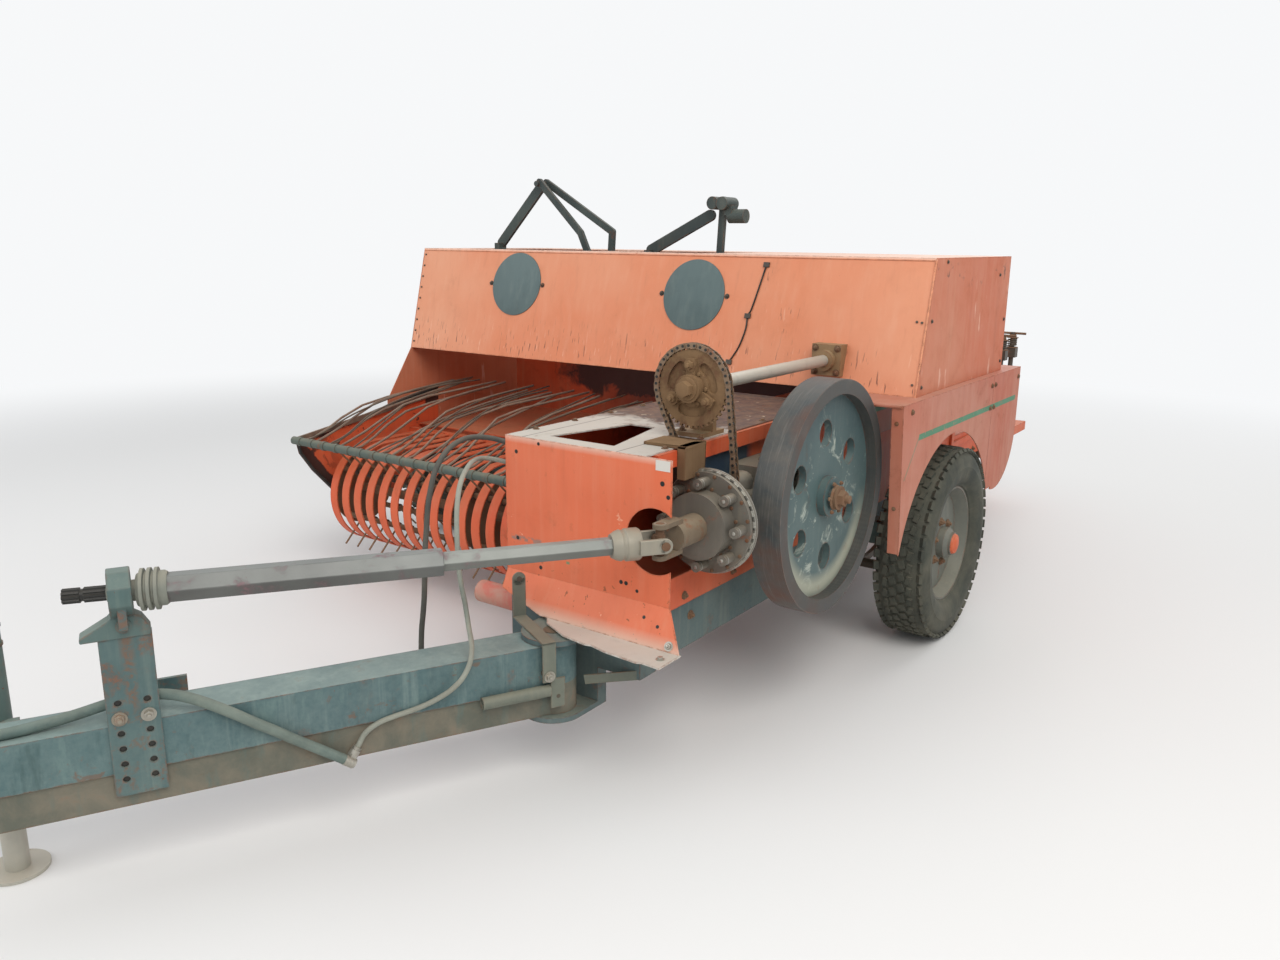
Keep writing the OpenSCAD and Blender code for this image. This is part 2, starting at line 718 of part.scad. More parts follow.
module pto_outer() {
  color("gray") along_shaft() rotate([0, 90, 0]) {
    difference() {
      translate([0, 0, 560]) cylinder(r = 34, h = shaft_len - 560 - 20, $fn = 32);
      translate([0, 0, 559]) cylinder(r = 31, h = 500, $fn = 32);
    }
    translate([0, 0, shaft_len - 90]) cylinder(r = 48, h = 50, $fn = 32);
    translate([0, 0, shaft_len - 42]) cylinder(r = 24, h = 66, $fn = 32);
    intersection() {
      translate([0, 0, shaft_len]) sphere(r = ball_r, $fn = 64);
      translate([0, 0, shaft_len - 11]) cylinder(r = 60, h = 22, $fn = 32);
    }
    translate([0, 0, shaft_len + 24]) cylinder(r = 17.46, h = 90, $fn = 32);
  }
}

// Drawbar of two tubes, one on the other
module drawbar() {
  color("slategray") on_drawbar() difference() {
    union() {
      block([0, -drawbar_w / 2, drawbar_z], [drawbar_len, drawbar_w / 2, drawbar_top]);
      block([0, -drawbar_w / 2 + 8, lower_z], [drawbar_len - 40, drawbar_w / 2 - 8, drawbar_z]);
      round_z(0, 0, lower_z, drawbar_top, drawbar_w / 2);
    }
    round_z(0, 0, lower_z - 1, drawbar_top + 1, 20 + seat);
  }
}
module hitch() {
  color("lightgray") on_drawbar() difference() {
    union() {
      block([drawbar_len, -40, drawbar_z + 10], [drawbar_len + 100, 40, drawbar_top - 10]);
      round_z(drawbar_len + 110, 0, drawbar_z + 10, drawbar_top - 10, 60);
    }
    block([drawbar_len + 40, -70, drawbar_z + 35], [drawbar_len + 180, 70, drawbar_top - 35]);
    round_z(drawbar_len + 110, 0, drawbar_z, drawbar_top, 16);
  }
}
bracket_w = 110;
bracket_top = 620;
hole_pitch = 38;
clamp_z = drawbar_top + 18;
module pto_bracket() {
  face = drawbar_w / 2;
  front = bearing_along + bracket_w / 2;
  back = bearing_along - bracket_w / 2;
  color("slategray") {
    on_drawbar() {
      difference() {
        block([back, face, 235], [front, face + 7, bracket_top]);
        for (i = [0, 2, 3, 4, 5]) for (x = [-30, 30]) {
          round_y(bearing_along + x, face - 1, face + 8, clamp_z + hole_pitch * (1 - i), 8);
        }
      }
      for (x = [back, front - 7]) {
        plate_yz(x, 7) polygon([[face + 1, 500], [face + 1, bracket_top],
          [face - 40, bracket_top], [face - 40, 590]]);
      }
      block([back, face - 40, bracket_top - 7], [front, face + 7, bracket_top]);
      // Clamp plate on the far side and the two bolts over the drawbar
      block([back - 65, -face - 10, clamp_z - 70], [front, -face, clamp_z + 22]);
      for (x = [-30, 30]) round_y(bearing_along + x, -face - 18, face + 16, clamp_z, 7.9);
      plate_yz(bearing_along - 13, 26) polygon([[-6, bracket_top], [-6, bracket_top + 22], [22, 676],
        [56, 676], [face + 7, bracket_top + 16], [face + 7, bracket_top]]);
    }
    difference() {
      translate(bearing_point()) rotate([0, 0, -drawbar_yaw]) {
        block([-9, -42, 650 - bearing_z], [9, 42, 0]);
        round_x(-9, 9, 0, 0, 48);
      }
      translate(bearing_point()) sphere(r = ball_r + seat, $fn = 64);
    }
  }
}
module latch_tube() {
  color("gray") on_drawbar() {
    difference() {
      rod([45, drawbar_w / 2 + 18, 287], [240, drawbar_w / 2 + 18, 287], 17);
      rod([232, drawbar_w / 2 + 18, 287], [241, drawbar_w / 2 + 18, 287], 12);
    }
    for (x = [70, 200]) block([x, drawbar_w / 2 - 8, 272], [x + 20, drawbar_w / 2 + 12, drawbar_z]);
  }
}
jack_x = drawbar_len - 130;
jack_y = -drawbar_w / 2 - 60;
module jack_tube() {
  color("slategray") on_drawbar() {
    difference() {
      round_z(jack_x, jack_y, 260, 700, 34);
      round_z(jack_x, jack_y, 259, 690, 28);
    }
    difference() {
      block([jack_x - 50, jack_y + 20, 300], [jack_x + 50, -drawbar_w / 2, 400]);
      round_z(jack_x, jack_y, 290, 410, 34);
    }
    round_z(jack_x, jack_y, 700, 725, 12);
    rod([jack_x, jack_y, 715], [jack_x + 120, jack_y, 715], 8);
  }
}
module jack_leg() {
  color("gray") on_drawbar() {
    round_z(jack_x, jack_y, 8, 460, 28 - seat);
    round_z(jack_x, jack_y, 0, 8, 70);
  }
}

// Road wheels
module tyre(side) {
  rotate([90 * side, 0, 0]) rotate_extrude($fn = 128) polygon([[rim_r, -70], [rim_r + 40, -tyre_w / 2],
    [tyre_r - 60, -tyre_w / 2], [tyre_r - 12, -tyre_w / 2 + 22], [tyre_r, -40], [tyre_r, 40],
    [tyre_r - 12, tyre_w / 2 - 22], [tyre_r - 60, tyre_w / 2], [rim_r + 40, tyre_w / 2], [rim_r, 70]]);
}
module rim(side) {
  rotate([-90 * side, 0, 0]) {
    rotate_extrude($fn = 96) polygon([[rim_r - seat, -68], [rim_r - seat, 68],
      [rim_r - 8, 68], [rim_r - 30, 20],
      [60, 34], [60, 60], [45, 75],
      [spindle_r + seat, 75], [spindle_r + seat, -40], [60, -40], [60, 26], [rim_r - 38, 12],
      [rim_r - 16, -68]]);
    translate([0, 0, 75]) cylinder(r = 45, h = 8, $fn = 48);
  }
}
module tyre_left() { color("dimgray") translate([0, wheel_left_y, axle_z]) tyre(1); }
module tyre_right() { color("dimgray") translate([0, -wheel_right_y, axle_z]) tyre(-1); }
module rim_left() { color("silver") translate([0, wheel_left_y, axle_z]) rim(1); }
module rim_right() { color("silver") translate([0, -wheel_right_y, axle_z]) rim(-1); }

// Pickup: end plates, stripper bands and rear beam
module pickup_side() {
  polygon([[1125, 640], [1113, 586], [1053, 500], [914, 349], [760, 300], [560, 330], [350, 490],
    [300, 600], [290, 796]]);
}
band_ys = [for (i = [0 : tine_n]) -(pickup_left_y + 45) - i * band_pitch];
module pickup_frame() {
  color("orangered") {
    difference() {
      union() {
        plate_xz(-pickup_right_y, sheet_t) pickup_side();
        plate_xz(-pickup_left_y - sheet_t, sheet_t) pickup_side();
      }
      round_y(reel_x, -2000, 0, reel_z, reel_shaft_r + seat);
      round_y(lift_x, -2000, 0, lift_z, lift_r + seat);
      round_y(hinge_x, -2000, 0, hinge_z, 10 + seat);
    }
    block([455, -pickup_right_y + sheet_t, 580], [485, -pickup_left_y - sheet_t, 610]);
    for (y = band_ys) {
      plate_xz(y - band_w / 2, band_w) {
        intersection() {
          translate([reel_x, reel_z]) difference() {
            circle(r = band_r, $fn = 96);
            circle(r = band_r - 5, $fn = 96);
          }
          translate([reel_x, reel_z]) polygon([[0, 0], [0, 400], [400, 400], [400, -400], [60, -400]]);
        }
        translate([480, reel_z + band_r - 5]) square([reel_x - 480, 5]);
      }
    }
  }
}
module pickup_reel() {
  color("dimgray") {
    round_y(reel_x, -pickup_right_y - 3, -pickup_left_y + 3, reel_z, reel_shaft_r);
    for (i = [0 : 3]) {
      translate([reel_x, 0, reel_z]) rotate([0, 45 + i * 90, 0]) {
        round_y(0, -pickup_right_y + 12, -pickup_left_y - 12, 150, 12);
        for (k = [0 : tine_n - 1]) {
          rod([0, band_ys[k] - band_pitch / 2, 150], [0, band_ys[k] - band_pitch / 2, tine_r], 4);
        }
      }
    }
    for (y = [-pickup_right_y + 12, -1100, -pickup_left_y - 18]) {
      round_y(reel_x, y, y + 6, reel_z, 165);
    }
  }
}

// Wind guard over the pickup: cross tube, side arms and bent rods
guard_x = 1140;
guard_z = 650;
guard_rods = 20;
hinge_x = 330;
hinge_z = 760;
// A round tube swept along points, with its sides carried from ring to ring without a twist
function flat_to(u, t) = let (w = u - (u * t) * t) w / norm(w);
module tube(points, r, sides, side) {
  n = len(points);
  heads = [for (i = [0 : n - 1]) let (a = points[max(i - 1, 0)], b = points[min(i + 1, n - 1)])
    (b - a) / norm(b - a)];
  turns = [for (i = 0, u = flat_to(side, heads[0]); i < n; i = i + 1,
    u = flat_to(u, heads[min(i, n - 1)])) u];
  rings = [for (i = [0 : n - 1]) let (s = turns[i], u = cross(heads[i], s)) for (k = [0 : sides - 1])
    points[i] + r * (s * cos(k * 360 / sides) + u * sin(k * 360 / sides))];
  walls = [for (i = [0 : n - 2]) for (k = [0 : sides - 1])
    let (a = i * sides + k, b = i * sides + (k + 1) % sides)
    for (half = [0, 1]) half == 0 ? [a, b + sides, b] : [a, a + sides, b + sides]];
  ends = [[for (k = [0 : sides - 1]) k], [for (k = [sides - 1 : -1 : 0]) (n - 1) * sides + k]];
  polyhedron(rings, concat(walls, ends));
}
// Bends of the guard's rods: sideways shift of the middle, of the tip, rise of the middle, reach of the tip
guard_bends = [
  [-8, 22, 6, 262], [14, 40, 16, 236], [-26, -52, 0, 300], [30, 58, 20, 248], [-34, 10, 8, 330],
  [22, -46, 24, 240], [40, 60, 2, 290], [-18, -30, 18, 236], [-44, 34, 10, 274], [26, 62, 26, 244],
  [12, -58, 4, 318], [-40, -12, 22, 238], [34, 48, 6, 266], [-16, -62, 16, 300], [42, 20, 0, 236],
  [-30, 54, 20, 286], [18, -40, 8, 246], [-46, -60, 24, 310], [24, 36, 4, 240], [-20, -8, 14, 270]
];
module wind_guard() {
  color("darkslategray") {
    round_y(guard_x, -pickup_right_y + 12, -pickup_left_y - 12, guard_z, 17);
    for (y = [-pickup_right_y + 12, -pickup_left_y - 20]) {
      plate_xz(y, 8) polygon([[guard_x, guard_z - 10], [guard_x, guard_z + 10], [hinge_x, hinge_z + 14],
        [hinge_x - 14, hinge_z], [hinge_x, hinge_z - 14]]);
    }
    round_y(hinge_x, -pickup_right_y - 1, -pickup_right_y + 16, hinge_z, 10);
    round_y(hinge_x, -pickup_left_y - 16, -pickup_left_y + 1, hinge_z, 10);
    for (i = [0 : guard_rods - 1]) {
      y = -pickup_right_y + 60 + i * band_pitch;
      b = guard_bends[i];
      lift = 15 * (i % 2);
      tube([[guard_x, y, guard_z], [1070, y + b.x * 0.1, 658 + lift], [1000, y + b.x * 0.3, 684 + lift],
        [920, y + b.x * 0.6, 722 + lift], [800, y + b.x, 756 + lift + b.z], [660, y + b.x * 0.8 + b.y * 0.2,
        778 + lift + b.z], [500, y + b.x * 0.4 + b.y * 0.6, 798 + lift + b.z * 0.5],
        [b[3], y + b.y, 822 + lift]], 5, 6, [0, 1, 0]);
    }
  }
}

// Hoses over and along the drawbar: routes of their middle lines, at rest
hose_dark_r = 8;
hose_dark_route = [
  [1530, -238.3, 900], [1530, -278, 900], [1540, -317, 907], [1567, -345, 917], [1604, -357, 924],
  [1644, -356, 928], [1683, -349, 927], [1722, -340, 921], [1759, -332, 908], [1792, -324, 887],
  [1819, -318, 858], [1838, -313, 823], [1852, -310, 785], [1861, -308, 746], [1868, -306, 707],
  [1875, -305, 667], [1880, -303, 627], [1885, -301, 587], [1889, -300, 547], [1893, -300, 507],
  [1898, -301, 467], [1903, -303, 427], [1905, -305, 387], [1909, -303, 347], [1917, -295, 309],
  [1931, -275, 278], [1954.2, -235.3, 256], [1967.7, -209.4, 256]
];
hose_pale_r = 7;
hose_pale_route = [
  [1560, -238.3, 850], [1560, -278, 850], [1581, -312, 858], [1618, -322, 867], [1655, -311, 872],
  [1691, -292, 875], [1725, -272, 875], [1759, -250, 872], [1792, -228, 867], [1824, -207, 857],
  [1854, -187, 839], [1877, -171, 811], [1891, -161, 775], [1898, -155, 736], [1901, -152, 696],
  [1901, -150, 656], [1899, -149, 616], [1895, -146, 576], [1889, -143, 536], [1889, -136, 497],
  [1904, -114, 467], [1927, -85, 453], [1953, -58, 438], [1977, -44, 411], [1999, -50, 378],
  [2020, -70, 349], [2044, -93, 328], [2074, -115, 313], [2107, -135, 304], [2142, -154, 298],
  [2177, -172, 289], [2208, -188, 269], [2227, -198, 236]
];
hose_sheathed_r = 13;
hose_sheathed_route = [
  [2263, -208, 212], [2298, -227, 241], [2334, -245, 270], [2370, -263, 299], [2405, -282, 329],
  [2441, -300, 358], [2476, -318, 388], [2511, -339, 416], [2545, -366, 440], [2578, -400, 456],
  [2611, -436, 460], [2648, -469, 456], [2688, -496, 447], [2731, -520, 437], [2775, -542, 429],
  [2820, -561, 425], [2866, -580, 423], [2910, -603, 423], [2953, -628, 423]
];
module hose_dark() { color("dimgray") tube(hose_dark_route, hose_dark_r, 8, [0, 0, 1]); }
module hose_pale() { color("lightgray") tube(hose_pale_route, hose_pale_r, 8, [0, 0, 1]); }
module hose_sheathed() { color("cadetblue") tube(hose_sheathed_route, hose_sheathed_r, 10, [0, 0, 1]); }
// Crimped end of the pale hose, coupling of the sheathed hose at the hitch, and the joint between them
module hose_fittings() {
  pale_end = hose_pale_route[len(hose_pale_route) - 1];
  sheath_start = hose_sheathed_route[0];
  sheath_end = hose_sheathed_route[len(hose_sheathed_route) - 1];
  on = hose_sheathed_route[len(hose_sheathed_route) - 1] - hose_sheathed_route[len(hose_sheathed_route) - 2];
  down = pale_end - hose_pale_route[len(hose_pale_route) - 2];
  back = sheath_start - hose_sheathed_route[1];
  low = pale_end + down / norm(down) * 46;
  color("silver") {
    rod(pale_end, pale_end + down / norm(down) * 34, 10.5);
    rod(pale_end + down / norm(down) * 8, pale_end + down / norm(down) * 20, 13);
    rod(pale_end + down / norm(down) * 20, low, 7);
    rod(low, sheath_start + back / norm(back) * 26, 5);
    rod(sheath_start, sheath_start + back / norm(back) * 30, 12.5);
    rod(sheath_end, sheath_end + on / norm(on) * 40, 12.8);
    rod(sheath_end + on / norm(on) * 40, sheath_end + on / norm(on) * 62, 9);
  }
}

place() frame_rails();
place() axle_beam();
place() chamber_shell();
place() chamber_hood();
place() front_plate();
place() hood_cover();
place() housing_front();
place() housing_left_end();
place() housing_right_end();
place() housing_top();
place() housing_rear();
place() feed_table();
place() feeder_arms();
place() fender_front();
place() fender_rear();
place() gearbox();
place() drive_pinion();
place() feeder_sprocket();
place() feeder_chain();
place() feeder_shaft();
place() shaft_bearing();
place() sprocket_bracket();
place() plunger();
place() knotter_stack();
place() twine_box();
place() twine_box_lid();
place() tension_rails();
place() bale_chute();
place() needle_yoke();
place() clutch();
place() flywheel();
place() joint_yoke();
place() pto_inner();
place() pto_outer();
place() pivot_pin();
place() drawbar();
place() hitch();
place() pto_bracket();
place() latch_tube();
place() jack_tube();
place() jack_leg();
place() tyre_left();
place() rim_left();
place() tyre_right();
place() rim_right();
place() pickup_frame();
place() pickup_reel();
place() wind_guard();
place() front_tray();
place() hose_dark();
place() hose_pale();
place() hose_sheathed();
place() hose_fittings();
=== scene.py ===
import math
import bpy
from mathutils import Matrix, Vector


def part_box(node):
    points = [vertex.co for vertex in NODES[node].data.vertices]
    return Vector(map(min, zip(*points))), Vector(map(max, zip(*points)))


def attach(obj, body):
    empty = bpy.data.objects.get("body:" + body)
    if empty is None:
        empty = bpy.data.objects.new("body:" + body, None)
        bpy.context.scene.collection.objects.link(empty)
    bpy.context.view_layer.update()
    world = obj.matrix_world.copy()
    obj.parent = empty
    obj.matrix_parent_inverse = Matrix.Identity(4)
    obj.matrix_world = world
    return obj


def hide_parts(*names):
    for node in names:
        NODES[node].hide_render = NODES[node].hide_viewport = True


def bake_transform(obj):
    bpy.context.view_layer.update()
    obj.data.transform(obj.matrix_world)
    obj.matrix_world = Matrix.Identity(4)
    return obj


bl_info = {
    "name": "Square baler looks",
    "version": (1, 0, 0),
    "blender": (4, 5, 0),
    "location": "View3D > Sidebar > Baler",
    "description": "Finishes and small pieces for a trailed square baler",
    "category": "Object",
}

import bmesh
import bpy
from mathutils import Matrix, Vector

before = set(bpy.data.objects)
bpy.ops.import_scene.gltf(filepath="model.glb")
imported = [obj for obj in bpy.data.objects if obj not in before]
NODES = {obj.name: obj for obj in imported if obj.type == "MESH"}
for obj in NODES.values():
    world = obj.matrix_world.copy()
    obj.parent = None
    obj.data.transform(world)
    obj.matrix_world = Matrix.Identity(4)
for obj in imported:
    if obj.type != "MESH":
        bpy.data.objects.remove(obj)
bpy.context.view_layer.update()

# The left tyre's middle is at x = 0, y = 0.5 m from the middle of the bale chamber.
_lo, _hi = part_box("tyre_left")
ORIGIN = Vector(((_lo.x + _hi.x) / 2, (_lo.y + _hi.y) / 2 - 0.5, 0))
DRAWBAR_YAW = math.radians(-27.5)
PIVOT = Vector((1.69, 0, 0))
# Places on the baler, in metres from ORIGIN: (y, z) of shafts that run fore and aft, (x, z) of the others
CLUTCH = (0.325, 0.735)
FEEDER = (0.22, 1.094)
FLYWHEEL = (0.93, 0.735)
PICKUP = (0.79, 0.38)
GUARD = (1.14, 0.65)
KNOTTER = (-0.76, 1.06)
CLUTCH_FACE = 1.416
CHAIN_PLANE = 1.33
PLATE_FACE = 1.6042
CHAMBER_WALL = 0.2382
# The housing's front panel leans back by PANEL_RUN over its height, PANEL_RISE
PANEL_RUN, PANEL_RISE = 0.113, 0.46
FORE, LEFT, UP = Vector((1, 0, 0)), Vector((0, 1, 0)), Vector((0, 0, 1))


def at(x, y, z):
    """A point given from the left axle, the chamber's middle and the ground, in metres."""
    return ORIGIN + Vector((x, y, z))


def on_drawbar(x, y, z):
    """A point given along and across the drawbar from its pivot, as parked."""
    p = Matrix.Rotation(DRAWBAR_YAW, 3, "Z") @ Vector((x, y, z))
    return ORIGIN + PIVOT + p


def turned(where, angle, axis):
    """A matrix that turns by an angle about X, Y or Z and moves to a point."""
    return Matrix.Translation(where) @ Matrix.Rotation(angle, 4, axis)


DRAWBAR = turned(ORIGIN + PIVOT, DRAWBAR_YAW, "Z")
DRAWBAR_LEFT = (DRAWBAR.to_3x3() @ LEFT).normalized()

# The drive shaft, from the middle of its joint to the middle of its support bearing
JOINT = at(1.64, *CLUTCH)
BEARING = on_drawbar(1.06, 0.066, 0.728)
SHAFT_LENGTH = (BEARING - JOINT).length


def along_shaft():
    """Local Z runs down the drive shaft from its joint, local Y stays level."""
    d = (BEARING - JOINT).normalized()
    level = UP.cross(d).normalized()
    up = d.cross(level)
    m = Matrix((up, level, d)).transposed().to_4x4()
    m.translation = JOINT
    return m


def srgb(r, g, b):
    """A colour as 0 to 255 values, made linear."""
    def lin(c):
        c /= 255
        return c / 12.92 if c <= 0.04045 else ((c + 0.055) / 1.055) ** 2.4
    return (lin(r), lin(g), lin(b), 1)


# Shader building blocks

class Shader:
    """A node tree with short calls for the patterns the finishes share."""

    def __init__(self, owner):
        owner.use_nodes = True
        self.mat = owner
        self.nt = owner.node_tree
        self.bsdf = self.nt.nodes.get("Principled BSDF")
        self.coord = self.add("ShaderNodeTexCoord").outputs["Object"]

    def add(self, kind, **values):
        """A new node. A key with a capital is a socket, with _ for each space, any other is a property."""
        n = self.nt.nodes.new(kind)
        for key, value in values.items():
            if key[0].isupper():
                self.put(n.inputs[key.replace("_", " ")], value)
            else:
                setattr(n, key, value)
        return n

    def put(self, socket, value):
        if hasattr(value, "links"):
            self.nt.links.new(value, socket)
        else:
            socket.default_value = value

    def put_all(self, sockets, *values):
        for socket, value in zip(sockets, values):
            self.put(socket, value)

    def stretch(self, scale, turn=(0, 0, 0)):
        n = self.add("ShaderNodeMapping", Vector=self.coord, Scale=scale, Rotation=turn)
        return n.outputs["Vector"]

    def noise(self, scale, detail=4.0, rough=0.6, distort=0.0, vector=None):
        n = self.add("ShaderNodeTexNoise", Vector=vector or self.coord, Scale=scale, Detail=detail,
                     Roughness=rough, Distortion=distort)
        return n.outputs["Fac"]

    def span(self, value, lo, hi, a=0.0, b=1.0):
        n = self.add("ShaderNodeMapRange", clamp=True, Value=value, From_Min=lo, From_Max=hi,
                     To_Min=a, To_Max=b)
        return n.outputs["Result"]

    def spots(self, lo, hi, *noise):
        """Patches of noise, soft between two of its values."""
        return self.span(self.noise(*noise), lo, hi)

    def math(self, op, a, b=0.0):
        n = self.add("ShaderNodeMath", operation=op)
        self.put_all(n.inputs, a, b)
        return n.outputs[0]

    def times(self, a, b):
        return self.math("MULTIPLY", a, b)

    def plus(self, a, b):
        return self.math("ADD", a, b)

    def minus(self, a, b):
        return self.math("SUBTRACT", a, b)

    def most(self, a, b):
        return self.math("MAXIMUM", a, b)

    def away(self, a, b):
        """The distance from an axis, from the two coordinates across it."""
        return self.math("SQRT", self.plus(self.times(a, a), self.times(b, b)))

    def mix(self, fac, a, b):
        n = self.add("ShaderNodeMix", data_type="RGBA")
        self.put_all([n.inputs[k] for k in (0, 6, 7)], fac, a, b)
        return n.outputs[2]

    def stain(self, colour, where, amount, *rgb):
        """A colour of 0 to 255 values over another, as much as amount where the mask is white."""
        return self.mix(self.times(where, amount), colour, srgb(*rgb))

    def blend(self, fac, a, b):
        """A mix of two shaders."""
        n = self.add("ShaderNodeMixShader")
        self.put_all(n.inputs, fac, a.outputs[0], b.outputs[0])
        return n.outputs[0]

    def in_view(self):
        """White for what the camera or a mirror sees."""
        path = self.add("ShaderNodeLightPath").outputs
        return self.most(path["Is Camera Ray"], path["Is Glossy Ray"])

    def axis(self, letter, vector=None):
        n = self.add("ShaderNodeSeparateXYZ")
        self.put(n.inputs[0], vector or self.coord)
        return n.outputs[letter]

    def place(self, origin=ORIGIN):
        """X, Y and Z, measured from a point of the baler."""
        return [self.minus(self.axis(letter), start) for letter, start in zip("XYZ", origin)]

    def facing_up(self):
        return self.axis("Z", self.add("ShaderNodeNewGeometry").outputs["Normal"])

    def edges(self, radius):
        """White along sharp edges, where the normal of a rounded edge differs from the face's."""
        d = self.add("ShaderNodeVectorMath", operation="DOT_PRODUCT")
        self.put_all(d.inputs, self.add("ShaderNodeBevel", samples=3, Radius=radius).outputs["Normal"],
                     self.add("ShaderNodeNewGeometry").outputs["Normal"])
        return self.span(d.outputs["Value"], 0.998, 0.86)

    def bump(self, height, strength, distance):
        n = self.add("ShaderNodeBump", Strength=strength, Distance=distance, Height=height)
        return n.outputs["Normal"]


def weathered(name, base, faded, dust, dust_amount, rust_amount, rust=(98, 60, 40), wear=0.0, rough=0.6,
              metal=0.0, grain=1.0, blotch=0.25, runs=0.25, dents=1.0, overlay=None):
    """Old paint or bare metal: fading, runs down the sides, dust on top, rust, chips and worn edges."""
    s = Shader(bpy.data.materials.new(name))
    big = s.noise(1.3, 3, 0.5)
    mid = s.noise(9, 6, 0.65, 0.4)
    fine = s.noise(70 * grain, 8, 0.7)
    down = s.noise(26, 4, 0.62, 0.0, s.stretch((1.0, 1.0, 0.055)))
    colour = s.mix(s.span(big, 0.36, 0.64), srgb(*base), srgb(*faded))
    colour = s.mix(s.span(mid, 0.5, 0.8, 0, blotch), colour, srgb(*[c * 0.7 for c in base]))
    colour = s.mix(s.span(down, 0.52, 0.78, 0, runs), colour, srgb(*dust))
    colour = s.mix(s.span(down, 0.44, 0.26, 0, runs), colour, srgb(*[c * 0.78 for c in base]))
    up = s.span(s.facing_up(), 0.25, 0.9)
    low = s.span(s.axis("Z"), 0.75, 0.1)
    settled = s.times(up, s.span(mid, 0.22, 0.6, 0.35, 1.0))
    film = s.times(s.spots(0.36, 0.74, 3.1, 5, 0.62, 0.2), 0.45)
    splash = s.times(low, s.span(fine, 0.3, 0.62, 0.2, 0.55))
    dusty = s.plus(s.plus(settled, film), splash)
    dusty = s.times(dusty, dust_amount)
    colour = s.mix(s.span(dusty, 0, 1), colour, srgb(*dust))
    patch = s.span(mid, 0.66 - 0.2 * rust_amount, 0.74 - 0.2 * rust_amount)
    patch = s.times(patch, s.span(fine, 0.38, 0.6))
    chips = s.span(s.noise(30 * grain, 5, 0.75), 0.735 - 0.12 * rust_amount, 0.755 - 0.12 * rust_amount)
    spoiled = s.most(s.times(patch, min(1.0, rust_amount * 1.6)), chips)
    if wear:
        edge = s.times(s.edges(wear), s.spots(0.4, 0.62, 34, 4, 0.7))
        spoiled = s.most(spoiled, edge)
    if overlay:
        s.fine, s.mid, s.spoiled = fine, mid, spoiled
        colour = overlay(s, colour)
        spoiled = s.spoiled
    rusty = s.mix(s.span(fine, 0.35, 0.7), srgb(*rust), srgb(*[min(255, c * 1.5) for c in rust]))
    colour = s.mix(spoiled, colour, rusty)
    s.put(s.bsdf.inputs["Base Color"], colour)
    s.put(s.bsdf.inputs["Roughness"], s.plus(s.span(mid, 0.2, 0.8, rough - 0.12, rough + 0.12),
                                             s.times(spoiled, 0.18)))
    s.bsdf.inputs["Specular IOR Level"].default_value = 0.5 if metal else 0.3
    if metal:
        s.put(s.bsdf.inputs["Metallic"], s.span(s.plus(spoiled, s.span(dusty, 0, 1)), 0.9, 0.1, 0, metal))
    height = s.plus(s.times(fine, 0.3), s.times(s.noise(4, 3), 1.6 * dents))
    height = s.minus(height, s.times(spoiled, 0.5))
    s.put(s.bsdf.inputs["Normal"], s.bump(height, 0.35, 0.0025))
    return s.mat


def between(s, value, lo, hi, soft=0.001):
    """White where a value lies between two others."""
    return s.times(s.span(value, lo - soft, lo + soft), s.span(value, hi + soft, hi - soft))


def short_scratches(s, colour):
    """Short dark scratches straight down, thickest along the lower part of the panel."""
    z = s.axis("Z")
    thin = s.noise(1.0, 2, 0.45, 0.0, s.stretch((0.2, 120, 15)))
    zone = s.most(s.span(z, 1.17, 1.05), s.times(s.spots(0.6, 0.66, 2.3, 2), 0.8))
    mark = s.times(s.span(thin, 0.64, 0.665), zone)
    mark = s.times(mark, s.spots(0.42, 0.5, 6, 2, 0.5))
    colour = s.stain(colour, mark, 0.85, 104, 70, 56)
    pale = s.times(s.span(thin, 0.33, 0.3), zone)
    colour = s.stain(colour, pale, 0.4, 236, 196, 172)
    lip = s.span(z, 1.441, 1.447)
    return s.stain(colour, lip, 0.55, 240, 214, 196)


def end_marks(s, colour):
    """Slanting scrapes and dark stains under the top edge of the housing's end."""
    z = s.axis("Z")
    slant = s.noise(1.0, 3, 0.5, 0.0, s.stretch((26, 0.2, 5.5), (0, 0.3, 0)))
    mark = s.times(s.span(slant, 0.62, 0.66), s.spots(0.5, 0.58, 5, 2))
    colour = s.stain(colour, mark, 0.6, 222, 178, 158)
    stain = s.times(between(s, z, 1.36, 1.43, 0.02), s.spots(0.58, 0.64, 13, 4, 0.7))
    return s.stain(colour, stain, 0.8, 110, 74, 56)


def plate_marks(s, colour):
    """Rust spots and scrapes low on the front plate, and dust along its top edge."""
    _, y, z = s.place()
    spots = s.spots(0.665, 0.685, 42, 3, 0.6)
    spots = s.times(spots, s.span(z, 0.66, 0.52, 0.15, 1.0))
    colour = s.stain(colour, spots, 0.75, 112, 74, 48)
    light = s.times(s.spots(0.7, 0.73, 24, 3, 0.6), 0.6)
    colour = s.mix(light, colour, srgb(232, 178, 148))
    top = s.span(z, 0.925, 0.944)
    colour = s.stain(colour, top, 0.6, 222, 198, 180)
    scrape = s.times(between(s, y, -0.229, -0.115, 0.004), between(s, z, 0.633, 0.648, 0.003))
    scrape = s.times(scrape, s.spots(0.42, 0.52, 60, 3, 0.6))
    colour = s.stain(colour, scrape, 0.8, 132, 118, 108)
    dab = s.times(between(s, y, -0.021, -0.009), between(s, z, 0.595, 0.603))
    colour = s.stain(colour, dab, 0.8, 84, 140, 104)
    foot = s.span(z, 0.475, 0.438)
    return s.stain(colour, foot, 0.7, 206, 190, 172)


